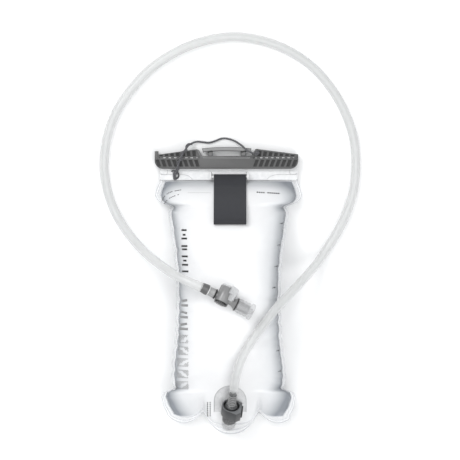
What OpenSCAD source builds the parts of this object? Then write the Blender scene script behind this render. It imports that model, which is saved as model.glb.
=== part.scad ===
// Hydration bladder lying filled on its back.
// +X across the bag, +Y towards the closure, +Z up through the bag's thickness.
// The origin is on the table under the middle of the bag.

/* [Bag] */
// Thickness of each film panel
film_t = 0.6; // [0.5:0.1:0.8]
// Rise of the front panel above the seam
front_rise = 40; // [34:1:40]
// Drop of the back panel below the seam, before the table flattens it
back_drop = 44; // [38:1:48]
// Height of the side seams above the table
seam_z = 36; // [32:1:36]
// Height of the closure's middle plane above the table
mouth_z = 6.5; // [6.5:0.1:7]

/* [Header and mouth] */
// Width of the header bands
header_w = 149; // [146:1:149]
// Thickness of one header band
header_t = 0.8; // [0.6:0.1:1]
// Thickness of one mouth rail
rail_t = 2; // [1.6:0.1:2.2]

/* [Slide closure] */
// Thickness of the closure bar
slider_t = 12.4; // [12.2:0.1:12.8]
// Thickness of its wings
wing_t = 7; // [5:0.5:9]
// Depth of the grip pockets
pocket_depth = 1.2; // [0.8:0.1:1.4]
// Number of grip pockets on each side
pocket_count = 8; // [4:1:8]

/* [Pull strap] */
// Width of the strap
strap_w = 34.8; // [30:0.2:35]
// Thickness of the folded webbing
strap_t = 2.4; // [1.6:0.1:2.6]
// Radius of the bail's pivot rod
rod_r = 1.3; // [1:0.1:1.4]

/* [Port and hose plug] */
// Radius of the port housing
port_r = 10.2; // [10:0.1:10.4]
// Radius of the socket's bore
socket_r = 8.6; // [8.5:0.1:8.8]
// Length of the port housing
port_l = 12.5; // [12:0.1:13]
// Slope of the port's axis
port_slope = 42; // [40:1:44]
// Number of rings on the plug's barb
barb_rings = 6; // [4:1:7]

/* [Drinking hose] */
// Outside diameter of the hose
hose_d = 9.5; // [9:0.1:9.6]
// Sides of the hose's solid
hose_sides = 10; // [8:1:12]

/* [Bite valve] */
// Radius of the cross barrel
barrel_r = 7.6; // [7.4:0.1:7.8]
// Reach of the cross barrel above the flow axis, on the lever's side
barrel_up = 11.6; // [11:0.2:12]
// Reach of the cross barrel below the flow axis
barrel_down = 5.6; // [5.4:0.2:7]
// Radius of the turning cock
cock_r = 5.2; // [5:0.1:5.2]
// Running clearance around the cock
cock_gap = 0.08; // [0.05:0.01:0.1]
// Largest radius of the bite sheath
sheath_r = 8.9; // [8.4:0.1:9]

/* [Leash] */
// Diameter of the leash cord
leash_d = 2; // [1.8:0.1:2.2]

/* [Hidden] */
$fn = 48;

// Colours
CLEAR_FILM = [0.92, 0.94, 0.96, 0.55];
CLEAR_PLASTIC = [0.85, 0.87, 0.88, 0.7];
HOSE = [0.84, 0.85, 0.85, 0.7];
GREY = "#6d6d70";
DARK_GREY = "#4a4b50";
BLACK = "#232327";
NAVY = "#44474f";
PALE_GREY = "#8f9093";

// Small working values
hair = 0.02;
clear = 0.3;

// ---- General functions -------------------------------------------------

function mix(a, b, t) = a + (b - a) * t;
function clamp01(t) = min(1, max(0, t));
function smooth(t) = let (c = clamp01(t)) c * c * (3 - 2 * c);
function unit(v) = v / norm(v);

// Catmull-Rom curve through points, n steps to each stretch
function ends_added(p) = concat([2 * p[0] - p[1]], p, [2 * p[len(p) - 1] - p[len(p) - 2]]);
function spline_at(a, b, c, d, t) =
    0.5 * (2 * b + (c - a) * t + (2 * a - 5 * b + 4 * c - d) * t * t
        + (3 * b - a - 3 * c + d) * t * t * t);
function spline(points, n) =
    let (p = ends_added(points))
    concat(
        [for (i = [1 : len(p) - 3], k = [0 : n - 1]) spline_at(p[i - 1], p[i], p[i + 1], p[i + 2], k / n)],
        [points[len(points) - 1]]
    );

// Round tube swept along a path whose direction never meets the vector up
function path_dir(p, i) = unit(p[min(i + 1, len(p) - 1)] - p[max(i - 1, 0)]);
function ring_at(p, i, r, sides, up) =
    let (t = path_dir(p, i), a = unit(cross(t, up)), b = cross(a, t))
    [for (k = [0 : sides - 1]) p[i] + r * (a * cos(360 * k / sides) + b * sin(360 * k / sides))];
module swept(path, r, sides, up = [0, 0, 1]) {
    n = len(path);
    polyhedron(
        points = [for (i = [0 : n - 1]) each ring_at(path, i, r, sides, up)],
        faces = concat(
            [[for (k = [0 : sides - 1]) k]],
            [for (i = [0 : n - 2], k = [0 : sides - 1])
                let (a = i * sides + k, b = i * sides + (k + 1) % sides)
                [a, a + sides, b + sides, b]],
            [[for (k = [sides - 1 : -1 : 0]) (n - 1) * sides + k]]
        ),
        convexity = 8
    );
}

// Cylinder along +Y
module rod_y(r, from, to) {
    translate([0, from, 0]) rotate([-90, 0, 0]) cylinder(r = r, h = to - from);
}
// Solid of revolution about +Y from [radius, y] points
module turned_y(points) {
    rotate([-90, 0, 0]) rotate_extrude() polygon(points);
}
// Extrusion of a section in X and Z along +Y
module slab_y(from, to) {
    translate([0, to, 0]) rotate([90, 0, 0]) linear_extrude(to - from) children();
}
// Cylinder along +X
module rod_x(r, from, to) {
    translate([from, 0, 0]) rotate([0, 90, 0]) cylinder(r = r, h = to - from);
}
// Solid of revolution about +X from [radius, x] points
module turned_x(points) {
    rotate([0, 90, 0]) rotate_extrude() polygon(points);
}

// ---- The bag's shape ---------------------------------------------------

// Bottom of the pocket's straight sides, and the header seam
pocket_bottom = -137;
pocket_top = 117;
// Half width of the pocket at heights along the bag
POCKET_SIDE = [
    [-137, 58], [-130, 64], [-118, 67.5], [-109.5, 66.5], [-107, 57.4], [-98, 59], [-80, 57.8],
    [-50, 54.3], [-10, 52.8], [20, 53.3], [45, 55.8], [70, 59.6], [84, 61.8], [90.4, 59.8], [92.8, 68.8], [97, 71.8],
    [102, 73], [110, 71], [117, 68]
];
// Width of the weld outside the pocket
WELD_SIDE = [[-137, 8], [-120, 5], [-106, 3.2], [84, 3.2], [92, 3.8], [102, 6.6], [117, 6.5]];
function half_w(y) =
    (lookup(y - 1.4, POCKET_SIDE) + 2 * lookup(y, POCKET_SIDE) + lookup(y + 1.4, POCKET_SIDE)) / 4;

// The bottom edge has a middle lobe and two side lobes, with notches between them
lobe_x = 2.6;
lobe_half = 30;
side_lobe_x = 51;
side_lobe_half = 21;
function lobes(x, middle, side, notch, flat) =
    let (d = abs(x - lobe_x), e = (d - side_lobe_x) / side_lobe_half)
    d < lobe_half
        ? -middle + (middle - notch) * pow(d / lobe_half, flat ? 5 : 2.4)
        : -side + (side - notch) * pow(abs(e), flat && e < 0 ? 3.6 : 2);
function bottom_in(x) = lobes(x, 143.5, 136.2, 126.5, true);
function bottom_out(x) = lobes(x, 155.6, 143.9, 131.7, false);

// Height of the seam between the films
seam_bottom_z = 16;
function seam(y) =
    y > 40 ? mix(seam_z, mouth_z, smooth((y - 40) / 77))
    : y < -50 ? mix(seam_z, seam_bottom_z, smooth((-50 - y) / 87))
    : seam_z;

// How full the bag is, from 0 at a seam to 1 in the middle
function side_round(u) = pow(max(0, 1 - pow(abs(u), 2.3)), 0.62);
function end_round(y) =
    let (t = clamp01((pocket_top - y) / 62), b = clamp01((y - pocket_bottom) / 95))
    pow(max(0, 1 - pow(1 - t, 2.2)), 0.62) * pow(max(0, 1 - pow(1 - b, 1.8)), 0.85);
function front_z(x, y) =
    seam(y) + film_t + front_rise * side_round(clamp01(abs(x) / half_w(y))) * end_round(y);
// Rows near the bottom bend down into the lobes
function lobe_shift(x, y0) = (bottom_in(x) - pocket_bottom) * (1 - smooth((y0 - pocket_bottom) / 30));
function film_spot(x, y0) =
    let (y = y0 + lobe_shift(x, y0), u = clamp01(abs(x) / half_w(y0)))
    [x, y, seam(y) + film_t + front_rise * side_round(u) * end_round(y0)];

// Rows of the film's mesh along Y, closer together at the ends, and columns across it
ROWS = concat(
    [for (k = [0 : 13]) pocket_bottom + 3 * k],
    [for (k = [0 : 19]) -91 + 9 * k],
    [for (k = [0 : 14]) 84 + k * (pocket_top - 84) / 14]
);
col_n = 9;
COLS = [for (k = [-col_n : col_n]) sin(90 * k / col_n)];
row_count = len(ROWS);
col_count = len(COLS);
function plan_xy(r, c) =
    let (y0 = ROWS[r], x = COLS[c] * half_w(y0))
    [x, y0 + lobe_shift(x, y0)];
function fullness(r, c) = side_round(COLS[c]) * end_round(ROWS[r]);

// The mesh's border, in turn along the bottom, the right side, the top and the left side
BORDER = concat(
    [for (c = [0 : col_count - 1]) [0, c]],
    [for (r = [1 : row_count - 1]) [r, col_count - 1]],
    [for (c = [col_count - 2 : -1 : 0]) [row_count - 1, c]],
    [for (r = [row_count - 2 : -1 : 1]) [r, 0]]
);
// Outer edge of the weld at a border point
film_top_y = 119.5;
corner_half = 66;
function edge_xy(r, c) =
    let (u = COLS[c], y0 = ROWS[r])
    r == 0 ? [u * corner_half, bottom_out(u * corner_half)]
    : r == row_count - 1 ? [u * header_w / 2, film_top_y]
    : let (p = plan_xy(r, c)) [u * (half_w(y0) + lookup(y0, WELD_SIDE)), p[1]];

// One film panel. face is the outside and back the inside, side is 1 in front and -1 at the back.
function outside_z(r, c, side) =
    let (p = plan_xy(r, c), s = seam(p[1]))
    side > 0
        ? s + hair / 2 + film_t + front_rise * fullness(r, c)
        : max(0, s - hair / 2 - film_t - back_drop * fullness(r, c));
module film(side) {
    grid = row_count * col_count;
    border_n = len(BORDER);
    outside = [for (r = [0 : row_count - 1], c = [0 : col_count - 1])
        let (p = plan_xy(r, c)) [p[0], p[1], outside_z(r, c, side)]];
    inside = [for (r = [0 : row_count - 1], c = [0 : col_count - 1])
        let (p = plan_xy(r, c), k = 1 - film_t / half_w(ROWS[r]))
        [p[0] * k, p[1] * (1 - film_t / 120), outside_z(r, c, side) - side * film_t]];
    rim = [for (b = BORDER)
        let (e = edge_xy(b[0], b[1])) [e[0], e[1], seam(e[1]) + side * (hair / 2 + film_t)]];
    rim_inside = [for (b = BORDER)
        let (e = edge_xy(b[0], b[1])) [e[0], e[1], seam(e[1]) + side * hair / 2]];
    function at(b) = b[0] * col_count + b[1];
    function turned(f) = side > 0 ? f : [for (k = [len(f) - 1 : -1 : 0]) f[k]];
    polyhedron(
        points = concat(outside, inside, rim, rim_inside),
        faces = concat(
            [for (r = [0 : row_count - 2], c = [0 : col_count - 2], half = [0, 1])
                let (a = r * col_count + c, b = a + 1, d = a + col_count, e = d + 1)
                turned(half == 0 ? [a, d, e] : [a, e, b])],
            [for (r = [0 : row_count - 2], c = [0 : col_count - 2], half = [0, 1])
                let (a = grid + r * col_count + c, b = a + 1, d = a + col_count, e = d + 1)
                turned(half == 0 ? [a, e, d] : [a, b, e])],
            [for (k = [0 : border_n - 1], part = [0 : 5])
                let (
                    n = (k + 1) % border_n,
                    a = at(BORDER[k]),
                    b = at(BORDER[n]),
                    ra = 2 * grid + k,
                    rb = 2 * grid + n,
                    ia = ra + border_n,
                    ib = rb + border_n
                )
                turned(
                    part == 0 ? [ra, a, b]
                    : part == 1 ? [ra, b, rb]
                    : part == 2 ? [ia, grid + b, grid + a]
                    : part == 3 ? [ia, ib, grid + b]
                    : part == 4 ? [ra, rb, ib]
                    : [ra, ib, ia]
                )]
        ),
        convexity = 6
    );
}
module front_film() {
    color(CLEAR_FILM) film(1);
}
module back_film() {
    color(CLEAR_FILM) film(-1);
}

// ---- Header bands and mouth rails --------------------------------------

header_y0 = 118.5;
header_y1 = 138;
band_gap = hair / 2 + film_t + 0.04;
corner_r = 3;
// Two slots, one above the other, take the leash's ring of cord
eyelet = [-56.5, 123.8];
ring_r = 3.2;
ring_lean = 50;
slot_y = 2.75;
slot_half = 1.3;
slot_r = 1.2;
module band_outline() {
    difference() {
        union() {
            translate([-header_w / 2, header_y0 + corner_r])
                square([header_w, header_y1 - header_y0 - corner_r]);
            translate([-header_w / 2 + corner_r, header_y0]) square([header_w - 2 * corner_r, 2 * corner_r]);
            for (s = [-1, 1]) {
                translate([s * (header_w / 2 - corner_r), header_y0 + corner_r]) circle(corner_r);
            }
        }
        for (s = [-1, 1]) {
            translate([eyelet[0] - slot_half, eyelet[1] + s * slot_y - slot_r])
                square([2 * slot_half, 2 * slot_r]);
            for (e = [-1, 1]) {
                translate([eyelet[0] + e * slot_half, eyelet[1] + s * slot_y]) circle(slot_r);
            }
        }
    }
}
module header_front() {
    color(CLEAR_PLASTIC)
    translate([0, 0, mouth_z + band_gap])
    linear_extrude(header_t)
    band_outline();
}
module header_back() {
    color(CLEAR_PLASTIC)
    translate([0, 0, mouth_z - band_gap - header_t])
    linear_extrude(header_t)
    band_outline();
}

rail_y0 = 135.3;
rail_y1 = 140;
rail_l = header_w - 2;
rail_z = band_gap + header_t + hair;
// A flat bead with a rounded outer edge
module rail() {
    translate([-rail_l / 2, rail_y0, rail_z]) cube([rail_l, rail_y1 - rail_y0 - 1, rail_t]);
    translate([0, rail_y1 - 1, rail_z + rail_t / 2]) rod_x(rail_t / 2, -rail_l / 2, rail_l / 2);
}
module mouth_rail_front() {
    color(CLEAR_PLASTIC) translate([0, 0, mouth_z]) rail();
}
module mouth_rail_back() {
    color(CLEAR_PLASTIC) translate([0, 0, mouth_z]) mirror([0, 0, 1]) rail();
}

// ---- Slide closure -----------------------------------------------------

slider_x0 = -80;
slider_x1 = 75.3;
slider_y0 = 130.8;
slider_y1 = 142;
lip_w = 3.9;
lip_top = 149.9;
waist_x0 = -28.7;
waist_x1 = 24;
waist_y = 144.7;
wing_end_y = 146.6;
wing_peak_y = 152.3;
slider_corner = 9;
throat_half = band_gap + header_t + 0.35;
cavity_half = rail_z + rail_t + 0.35;
cavity_y0 = 134.9;
cavity_y1 = 140.6;
pocket_pitch = 5.95;
pocket_w = 3.7;
pocket_lean = 2.6;
slider_base = mouth_z - slider_t / 2;

// Outline of the bar below its wings, with its two lower corners rounded
module bar_outline() {
    r = slider_corner;
    steps = 12;
    function corner(x, from) = [for (k = [0 : steps])
        [x, slider_y0 + r] + r * [cos(from + 90 * k / steps), sin(from + 90 * k / steps)]];
    polygon(concat(
        corner(slider_x0 + r, 180),
        corner(slider_x1 - r, 270),
        [[slider_x1, slider_y1], [waist_x1 + 2, slider_y1], [waist_x1 + 2, waist_y]],
        [[waist_x0 - 2, waist_y], [waist_x0 - 2, slider_y1], [slider_x0, slider_y1]]
    ));
}
module wing_outline() {
    polygon([
        [slider_x0 + 2, slider_y1 - 1], [slider_x0 + 2, wing_end_y - 0.6], [-34.5, wing_peak_y - 0.3],
        [-32.4, wing_peak_y - 0.8], [waist_x0, waist_y], [waist_x0, slider_y1 - 1]
    ]);
    polygon([
        [waist_x1, slider_y1 - 1], [waist_x1, waist_y], [29, wing_peak_y - 0.2], [31, wing_peak_y],
        [slider_x1, wing_end_y], [slider_x1, slider_y1 - 1]
    ]);
}
// Pockets of one side, side is -1 on the left and 1 on the right
module lower_pockets(side) {
    first = side < 0 ? waist_x0 - 2.5 : waist_x1 + 2.5;
    for (k = [0 : pocket_count - 1]) {
        x = first + side * pocket_pitch * k;
        polygon([
            [x, 133.2], [x + side * pocket_w, 133.2],
            [x + side * (pocket_w + pocket_lean), 140.6], [x + side * pocket_lean, 140.6]
        ]);
    }
}
module upper_pockets(side) {
    first = side < 0 ? waist_x0 - 6.4 : waist_x1 + 7.2;
    for (k = [0 : pocket_count - 2]) {
        x = first + side * pocket_pitch * k;
        top = wing_peak_y - 1.7 - k * pocket_pitch * (wing_peak_y - wing_end_y) / 45;
        polygon([
            [x, 144.4], [x + side * pocket_w, 144.4], [x + side * (pocket_w + 0.8), top - 0.5], [x + side * 0.8, top]
        ]);
    }
}
module web_gaps(side) {
    first = side < 0 ? waist_x0 - 5.3 : waist_x1 + 5.3;
    for (k = [0 : pocket_count - 1]) {
        translate([first + side * pocket_pitch * k - 1.4, 142.1]) square([2.8, 1.3]);
    }
}
module slider_bar() {
    top = slider_base + slider_t;
    wing_z = mouth_z - wing_t / 2;
    color(GREY)
    difference() {
        union() {
            translate([0, 0, slider_base]) linear_extrude(slider_t) bar_outline();
            translate([0, 0, wing_z]) linear_extrude(wing_t) wing_outline();
            translate([slider_x0, slider_y1 - 3, wing_z]) cube([lip_w, lip_top - slider_y1 + 3, wing_t]);
        }
        translate([slider_x0 + lip_w, slider_y0 - 1, mouth_z - throat_half])
            cube([slider_x1 - slider_x0, cavity_y0 - slider_y0 + 2, 2 * throat_half]);
        translate([slider_x0 + lip_w, cavity_y0, mouth_z - cavity_half])
            cube([slider_x1 - slider_x0, cavity_y1 - cavity_y0, 2 * cavity_half]);
        for (side = [-1, 1]) {
            translate([0, 0, top - pocket_depth]) linear_extrude(pocket_depth + 1) lower_pockets(side);
            translate([0, 0, slider_base - 1]) linear_extrude(pocket_depth + 1) lower_pockets(side);
            translate([0, 0, wing_z + wing_t - pocket_depth]) linear_extrude(pocket_depth + 1) upper_pockets(side);
            translate([0, 0, wing_z - 1]) linear_extrude(pocket_depth + 1) upper_pockets(side);
            translate([0, 0, wing_z - 1]) linear_extrude(wing_t + 2) web_gaps(side);
        }
    }
}

// Curved bar on two posts above the closure's waist
hanger_x = -2;
hanger_half = 26.8;
hanger_top = 154.6;
hanger_sag = 1.7;
hanger_bar_w = 4.1;
hanger_z0 = 3.5;
hanger_t = 6;
function hanger_y(dx) = hanger_top - hanger_sag * pow(dx / hanger_half, 2);
module hanger_arch() {
    steps = 16;
    xs = [for (k = [0 : steps]) hanger_half * (2 * k / steps - 1)];
    color(PALE_GREY) {
        translate([hanger_x, 0, hanger_z0])
        linear_extrude(hanger_t)
        polygon(concat(
            [for (x = xs) [x, hanger_y(x)]],
            [for (k = [steps : -1 : 0]) [xs[k] * 0.96, hanger_y(xs[k]) - hanger_bar_w]]
        ));
        for (x = [-22.5, 13.2]) {
            translate([x, waist_y + hair, hanger_z0 + 1]) cube([5.4, 6, hanger_t - 2]);
        }
    }
}

// ---- Strap bail and pull strap -----------------------------------------

bail_x0 = -21;
bail_x1 = 22;
bail_y0 = 118.9;
bail_y1 = 127.1;
bail_z0 = mouth_z + band_gap + header_t + hair;
bail_h = 5.8;
bail_bar_h = 2;
bail_w = 2.1;
rod_y = 121.9;
rod_z = 11.6;
strap_x = 1.5;
module strap_bail() {
    color(CLEAR_PLASTIC) {
        difference() {
            translate([bail_x0, bail_y0, bail_z0]) cube([bail_x1 - bail_x0, bail_y1 - bail_y0, bail_h]);
            translate([bail_x0 + bail_w, bail_y0 - 1, bail_z0 - 1])
                cube([bail_x1 - bail_x0 - 2 * bail_w, bail_y1 - bail_y0 + 1 - bail_w, bail_h + 2]);
            translate([bail_x0 + bail_w, bail_y0 - 1, bail_z0 + bail_bar_h])
                cube([bail_x1 - bail_x0 - 2 * bail_w, bail_y1 - bail_y0 + 2, bail_h]);
        }
        translate([0, rod_y, rod_z]) rod_x(rod_r, bail_x0 + bail_w / 2, bail_x1 - bail_w / 2);
    }
}
// Folded webbing: a roll round the rod, then a band that lies on the bulge of the bag
strap_roll_in = rod_r + 0.3;
strap_end_y = 72.4;
strap_gap = 1.2;
function strap_under(y) = max(front_z(0, y) + strap_gap, rod_z + 0.6 + (rod_y - y) * 0.95);
module along_x(from, to) {
    translate([from, 0, 0]) rotate([90, 0, 90]) linear_extrude(to - from) children();
}
module pull_strap() {
    steps = 20;
    ys = [for (k = [0 : steps]) mix(rod_y, strap_end_y, k / steps)];
    x0 = strap_x - strap_w / 2;
    x1 = strap_x + strap_w / 2;
    color(NAVY)
    difference() {
        union() {
            translate([0, rod_y, rod_z]) rod_x(strap_roll_in + 1.1, x0, x1);
            along_x(x0, x1)
            polygon(concat(
                [for (y = ys) [y, strap_under(y)]],
                [for (k = [steps : -1 : 0]) [ys[k], strap_under(ys[k]) + strap_t]]
            ));
            translate([0, strap_end_y, strap_under(strap_end_y) + strap_t / 2]) rod_x(strap_t / 2 + 0.5, x0, x1);
        }
        translate([0, rod_y, rod_z]) rod_x(strap_roll_in, x0 - 1, x1 + 1);
    }
}

// ---- Leash -------------------------------------------------------------

LEASH_ROUTE = [
    [27.2, 147.4, 14.2], [23, 149, 13.6], [18, 152.5, 11.8], [13, 157, 7.5], [7, 161, 3], [0, 163.5, 1.2],
    [-7, 164, 1.1], [-14, 161.5, 1.1], [-21, 159.5, 1.1], [-28, 160, 1.1], [-34, 160.5, 1.6],
    [-39, 159, 4], [-43.5, 156, 8.5], [-46.5, 152, 12], [-49, 148, 14], [-51.5, 143, 14.5],
    [-53.5, 138, 14.5], [-55, 133.5, 14.5], [-56, 130.2, 14.2]
];
leash_end = [-56.4, 128, 12.2];
module leash() {
    color(DARK_GREY) swept(spline(concat(LEASH_ROUTE, [leash_end]), 3), leash_d / 2, 8);
}
// Ring of cord through the header's two slots, leaning to the right
module leash_loop() {
    color(DARK_GREY)
    translate([eyelet[0], eyelet[1], mouth_z])
    rotate([0, 90 + ring_lean, 0])
    rotate_extrude() translate([ring_r, 0]) circle(leash_d / 2 - 0.2, $fn = 16);
}
module knot(width, height) {
    hull() {
        for (s = [-1, 1]) {
            translate([s * width / 4, s * height / 6, 0]) sphere(d = height, $fn = 32);
        }
    }
}
module leash_knot_header() {
    color(BLACK) translate([-56.5, 127, 10.6]) rotate([0, 0, 70]) knot(4.4, 3.6);
}
module leash_knot_slider() {
    color(BLACK) translate([30.4, 147.6, 13.2]) rotate([0, 0, 35]) knot(5, 4.2);
}

// ---- Hose port ---------------------------------------------------------

port_mouth = [3, -123.1, 45];
port_yaw = -8;
module at_port() {
    translate(port_mouth) rotate([0, 0, port_yaw]) rotate([port_slope, 0, 0]) children();
}
socket_depth = 10;
seat_r = 3.8;
button_face_x = 11.4;
// A round housing with a flat front and a block on its right for the button
module port_body() {
    color(DARK_GREY)
    at_port()
    difference() {
        union() {
            rod_y(port_r, -port_l, 0);
            slab_y(-port_l, 0)
                polygon([[-3.4, 9.5], [6.4, 12.6], [button_face_x, 8.6], [button_face_x, -6.4], [5, -8.8], [0, 0]]);
        }
        rod_y(socket_r, -socket_depth, 1);
        rod_y(seat_r, -port_l - 1, 1);
        translate([9.7, -10.4, -5]) cube([5, 7.9, 12]);
    }
}
// The stub carries on behind the housing and holds the poppet
stub_r = 7.6;
stub_l = 10.5;
stub_bore_r = 5.6;
module port_stub() {
    color(PALE_GREY)
    at_port()
    translate([0, -port_l - hair, 0])
    turned_y([
        [stub_bore_r, 0], [stub_r, 0], [stub_r, -stub_l + 3], [stub_r - 3, -stub_l], [0, -stub_l],
        [0, -stub_l + 1.4], [stub_bore_r - 1, -stub_l + 1.4], [stub_bore_r, -stub_l + 2.4]
    ]);
}
// Clear sleeve of film over the stub
sleeve_l = 21;
module port_sleeve() {
    inner = stub_r + 0.25;
    outer = inner + 0.5;
    color(CLEAR_FILM)
    at_port()
    translate([0, -port_l - 0.3, 0])
    turned_y([
        [inner, 0], [outer, 0], [outer, -sleeve_l + 6], [outer - 1.6, -sleeve_l + 2.4], [outer - 4.6, -sleeve_l],
        [0, -sleeve_l], [0, -sleeve_l + 0.5], [outer - 4.8, -sleeve_l + 0.5], [inner - 1.5, -sleeve_l + 2.7],
        [inner, -sleeve_l + 6.1]
    ]);
}
// The button slides into the housing's side
module release_button() {
    color(BLACK)
    at_port()
    translate([button_face_x - 0.5, -10.1, -4.7])
    cube([2, 7.3, 11.4]);
}
module port_poppet() {
    color(PALE_GREY)
    at_port()
    turned_y([
        [0, -17.2], [5, -17.2], [5, -16], [2.4, -15.4], [2.4, -9.8], [0, -9.8]
    ]);
}
module poppet_spring() {
    turns = 3;
    steps = 12;
    spring_r = 3.6;
    wire_r = 0.4;
    start = -20.9;
    end = -17.7;
    path = [for (k = [0 : turns * steps])
        let (a = 360 * k / steps)
        [spring_r * cos(a), mix(start, end, k / (turns * steps)), spring_r * sin(a)]];
    color("silver") at_port() swept(path, wire_r, 6, [0, 1, 0]);
}

// Arch-shaped patch that joins the port to the front film
patch_x = 1.7;
patch_half = 17.4;
patch_row0 = -133;
patch_arch_y = -119;
patch_lift = 0.15;
patch_t = 0.3;
module port_patch() {
    rows = 14;
    cols = 12;
    layer = (rows + 1) * (cols + 1);
    function row_y(r) = r <= 6 ? mix(patch_row0, patch_arch_y, r / 6)
        : patch_arch_y + patch_half * sin(88 * (r - 6) / (rows - 6));
    function row_half(r) = r <= 6 ? patch_half : patch_half * cos(88 * (r - 6) / (rows - 6));
    function spot(r, c, up) =
        let (x = patch_x + row_half(r) * (2 * c / cols - 1), p = film_spot(x, row_y(r)))
        [p[0], p[1], p[2] + up];
    function id(r, c, l) = l * layer + r * (cols + 1) + c;
    ring = concat(
        [for (c = [0 : cols]) [0, c]], [for (r = [1 : rows]) [r, cols]],
        [for (c = [cols - 1 : -1 : 0]) [rows, c]], [for (r = [rows - 1 : -1 : 1]) [r, 0]]
    );
    color(CLEAR_PLASTIC)
    polyhedron(
        points = [for (up = [patch_lift + patch_t, patch_lift], r = [0 : rows], c = [0 : cols]) spot(r, c, up)],
        faces = concat(
            [for (r = [0 : rows - 1], c = [0 : cols - 1], half = [0, 1])
                half == 0 ? [id(r, c, 0), id(r + 1, c, 0), id(r + 1, c + 1, 0)]
                : [id(r, c, 0), id(r + 1, c + 1, 0), id(r, c + 1, 0)]],
            [for (r = [0 : rows - 1], c = [0 : cols - 1], half = [0, 1])
                half == 0 ? [id(r, c, 1), id(r + 1, c + 1, 1), id(r + 1, c, 1)]
                : [id(r, c, 1), id(r, c + 1, 1), id(r + 1, c + 1, 1)]],
            [for (k = [0 : len(ring) - 1])
                let (a = ring[k], b = ring[(k + 1) % len(ring)])
                [id(a[0], a[1], 0), id(b[0], b[1], 0), id(b[0], b[1], 1), id(a[0], a[1], 1)]]
        )
    );
}

// ---- Hose plug ---------------------------------------------------------

barb_l = 18.6;
barb_core = 3.5;
barb_tip = 3.1;
barb_bore = 2.4;
plug_nose_r = 7.4;
module hose_plug() {
    pitch = (barb_l - 3) / barb_rings;
    color(DARK_GREY)
    at_port()
    turned_y(concat(
        [[barb_bore, barb_l], [barb_bore, -9.4], [plug_nose_r - 0.6, -9.4], [plug_nose_r, -8.8]],
        [[plug_nose_r, -7.4], [plug_nose_r - 1.2, -7.4], [plug_nose_r - 1.2, -5.4], [plug_nose_r, -5.4]],
        [[plug_nose_r, -4], [socket_r - clear, -4], [socket_r - clear, -3.2], [6.6, -2.8]],
        [[6.6, -0.2], [6.2, 0.4], [5.2, 1.4], [barb_core, 1.8]],
        [for (k = [0 : barb_rings - 1], q = [0, 1])
            q == 0 ? [barb_core + 0.9, 2.2 + pitch * k + 0.4] : [barb_core - 0.1, 2.2 + pitch * (k + 1) - 0.1]],
        [[barb_tip, barb_l]]
    ));
}
module plug_oring() {
    color(BLACK)
    at_port()
    translate([0, -6.4, 0])
    rotate([-90, 0, 0])
    rotate_extrude() translate([plug_nose_r + 0.1, 0]) circle(0.9, $fn = 24);
}

// ---- Drinking hose -----------------------------------------------------

HOSE_ROUTE = [
    [5, -109.3, 57.6], [6.5, -99, 66.8], [9, -86, 74.5], [14, -71, 78.5], [22, -56.5, 79.5], [32, -42, 76],
    [43, -28, 68], [55, -14, 56], [68, -1, 41], [82, 13, 25], [96, 29, 11], [107, 45, 5.4], [117, 61, 4.8],
    [127, 81, 4.8], [135, 106, 4.8], [138, 133, 4.8], [136, 162, 4.8], [127, 190, 4.8], [112, 217, 4.8],
    [90, 242, 4.8], [63, 260, 4.8], [32, 271, 4.8], [0, 274, 4.8], [-32, 268, 4.8], [-60, 256, 4.8],
    [-86, 238, 4.8], [-107, 215, 4.8], [-123, 190, 4.8], [-132, 163, 4.8], [-135, 134, 4.8],
    [-131, 106, 5], [-122, 82, 8.5], [-109, 62, 21], [-93, 44, 40], [-76, 30, 61], [-59, 18.5, 79], [-43, 10.5, 89]
];
valve_start = [-28.2, 4.3, 91.2];
module drink_tube() {
    color(HOSE) swept(spline(concat(HOSE_ROUTE, [valve_start]), 2), hose_d / 2, hose_sides);
}

// ---- Bite valve --------------------------------------------------------

valve_yaw = -26.7;
valve_dip = 6;
valve_roll = 15;
barrel_at = 25.2;
// Local +X runs along the valve from the hose, the cross barrel runs along local +Y
module at_valve() {
    translate(valve_start) rotate([0, valve_dip, valve_yaw]) rotate([-valve_roll, 0, 0]) children();
}
module at_barrel() {
    at_valve() translate([barrel_at, 0, 0]) children();
}
neck_r = 3.8;
flow_r = 2.4;
neck_x0 = 9;
module valve_barb() {
    color(GREY)
    at_valve()
    turned_x([
        [flow_r, hair], [4.7, hair], [4.7, 7.4], [4.3, 7.6], [4.3, 8.8], [flow_r, 8.8]
    ]);
}
module valve_collar() {
    color(DARK_GREY)
    at_valve()
    turned_x([
        [4.72, hair], [5.1, hair], [5.9, 6.2], [5.5, 7.5], [4.72, 7.5]
    ]);
}
module valve_oring() {
    color(BLACK)
    at_valve()
    translate([16, 0, 0])
    rotate([0, 90, 0])
    rotate_extrude() translate([4.7, 0]) circle(0.85, $fn = 24);
}
module valve_body() {
    color(GREY)
    at_barrel()
    difference() {
        union() {
            turned_x([
                [0, neck_x0 - barrel_at], [4.7, neck_x0 - barrel_at], [5.1, 14.8 - barrel_at],
                [neck_r, 15.2 - barrel_at], [neck_r, 0], [0, 0]
            ]);
            turned_x([
                [0, 0], [neck_r, 0], [neck_r, 10.8], [6.2, 14.6], [7, 15], [7, 16.2], [5, 16.4], [5, 29],
                [4.2, 30], [0, 30]
            ]);
            rod_y(barrel_r, -barrel_down, barrel_up);
        }
        rod_x(flow_r, neck_x0 - barrel_at - 1, 31);
        rod_y(cock_r + cock_gap, -barrel_down - 1, barrel_up + 1);
    }
}
module shutoff_cock() {
    color(PALE_GREY)
    at_barrel()
    difference() {
        rod_y(cock_r, -barrel_down - 0.1, barrel_up + 0.3);
        rod_x(flow_r, -10, 10);
    }
}
// Cap on the barrel's upper end with a tongue that reaches down beside the barrel
cap_y0 = barrel_up + 0.32;
cap_r = 6.4;
tongue_in = barrel_r + 0.4;
tongue_out = 12.4;
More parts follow.
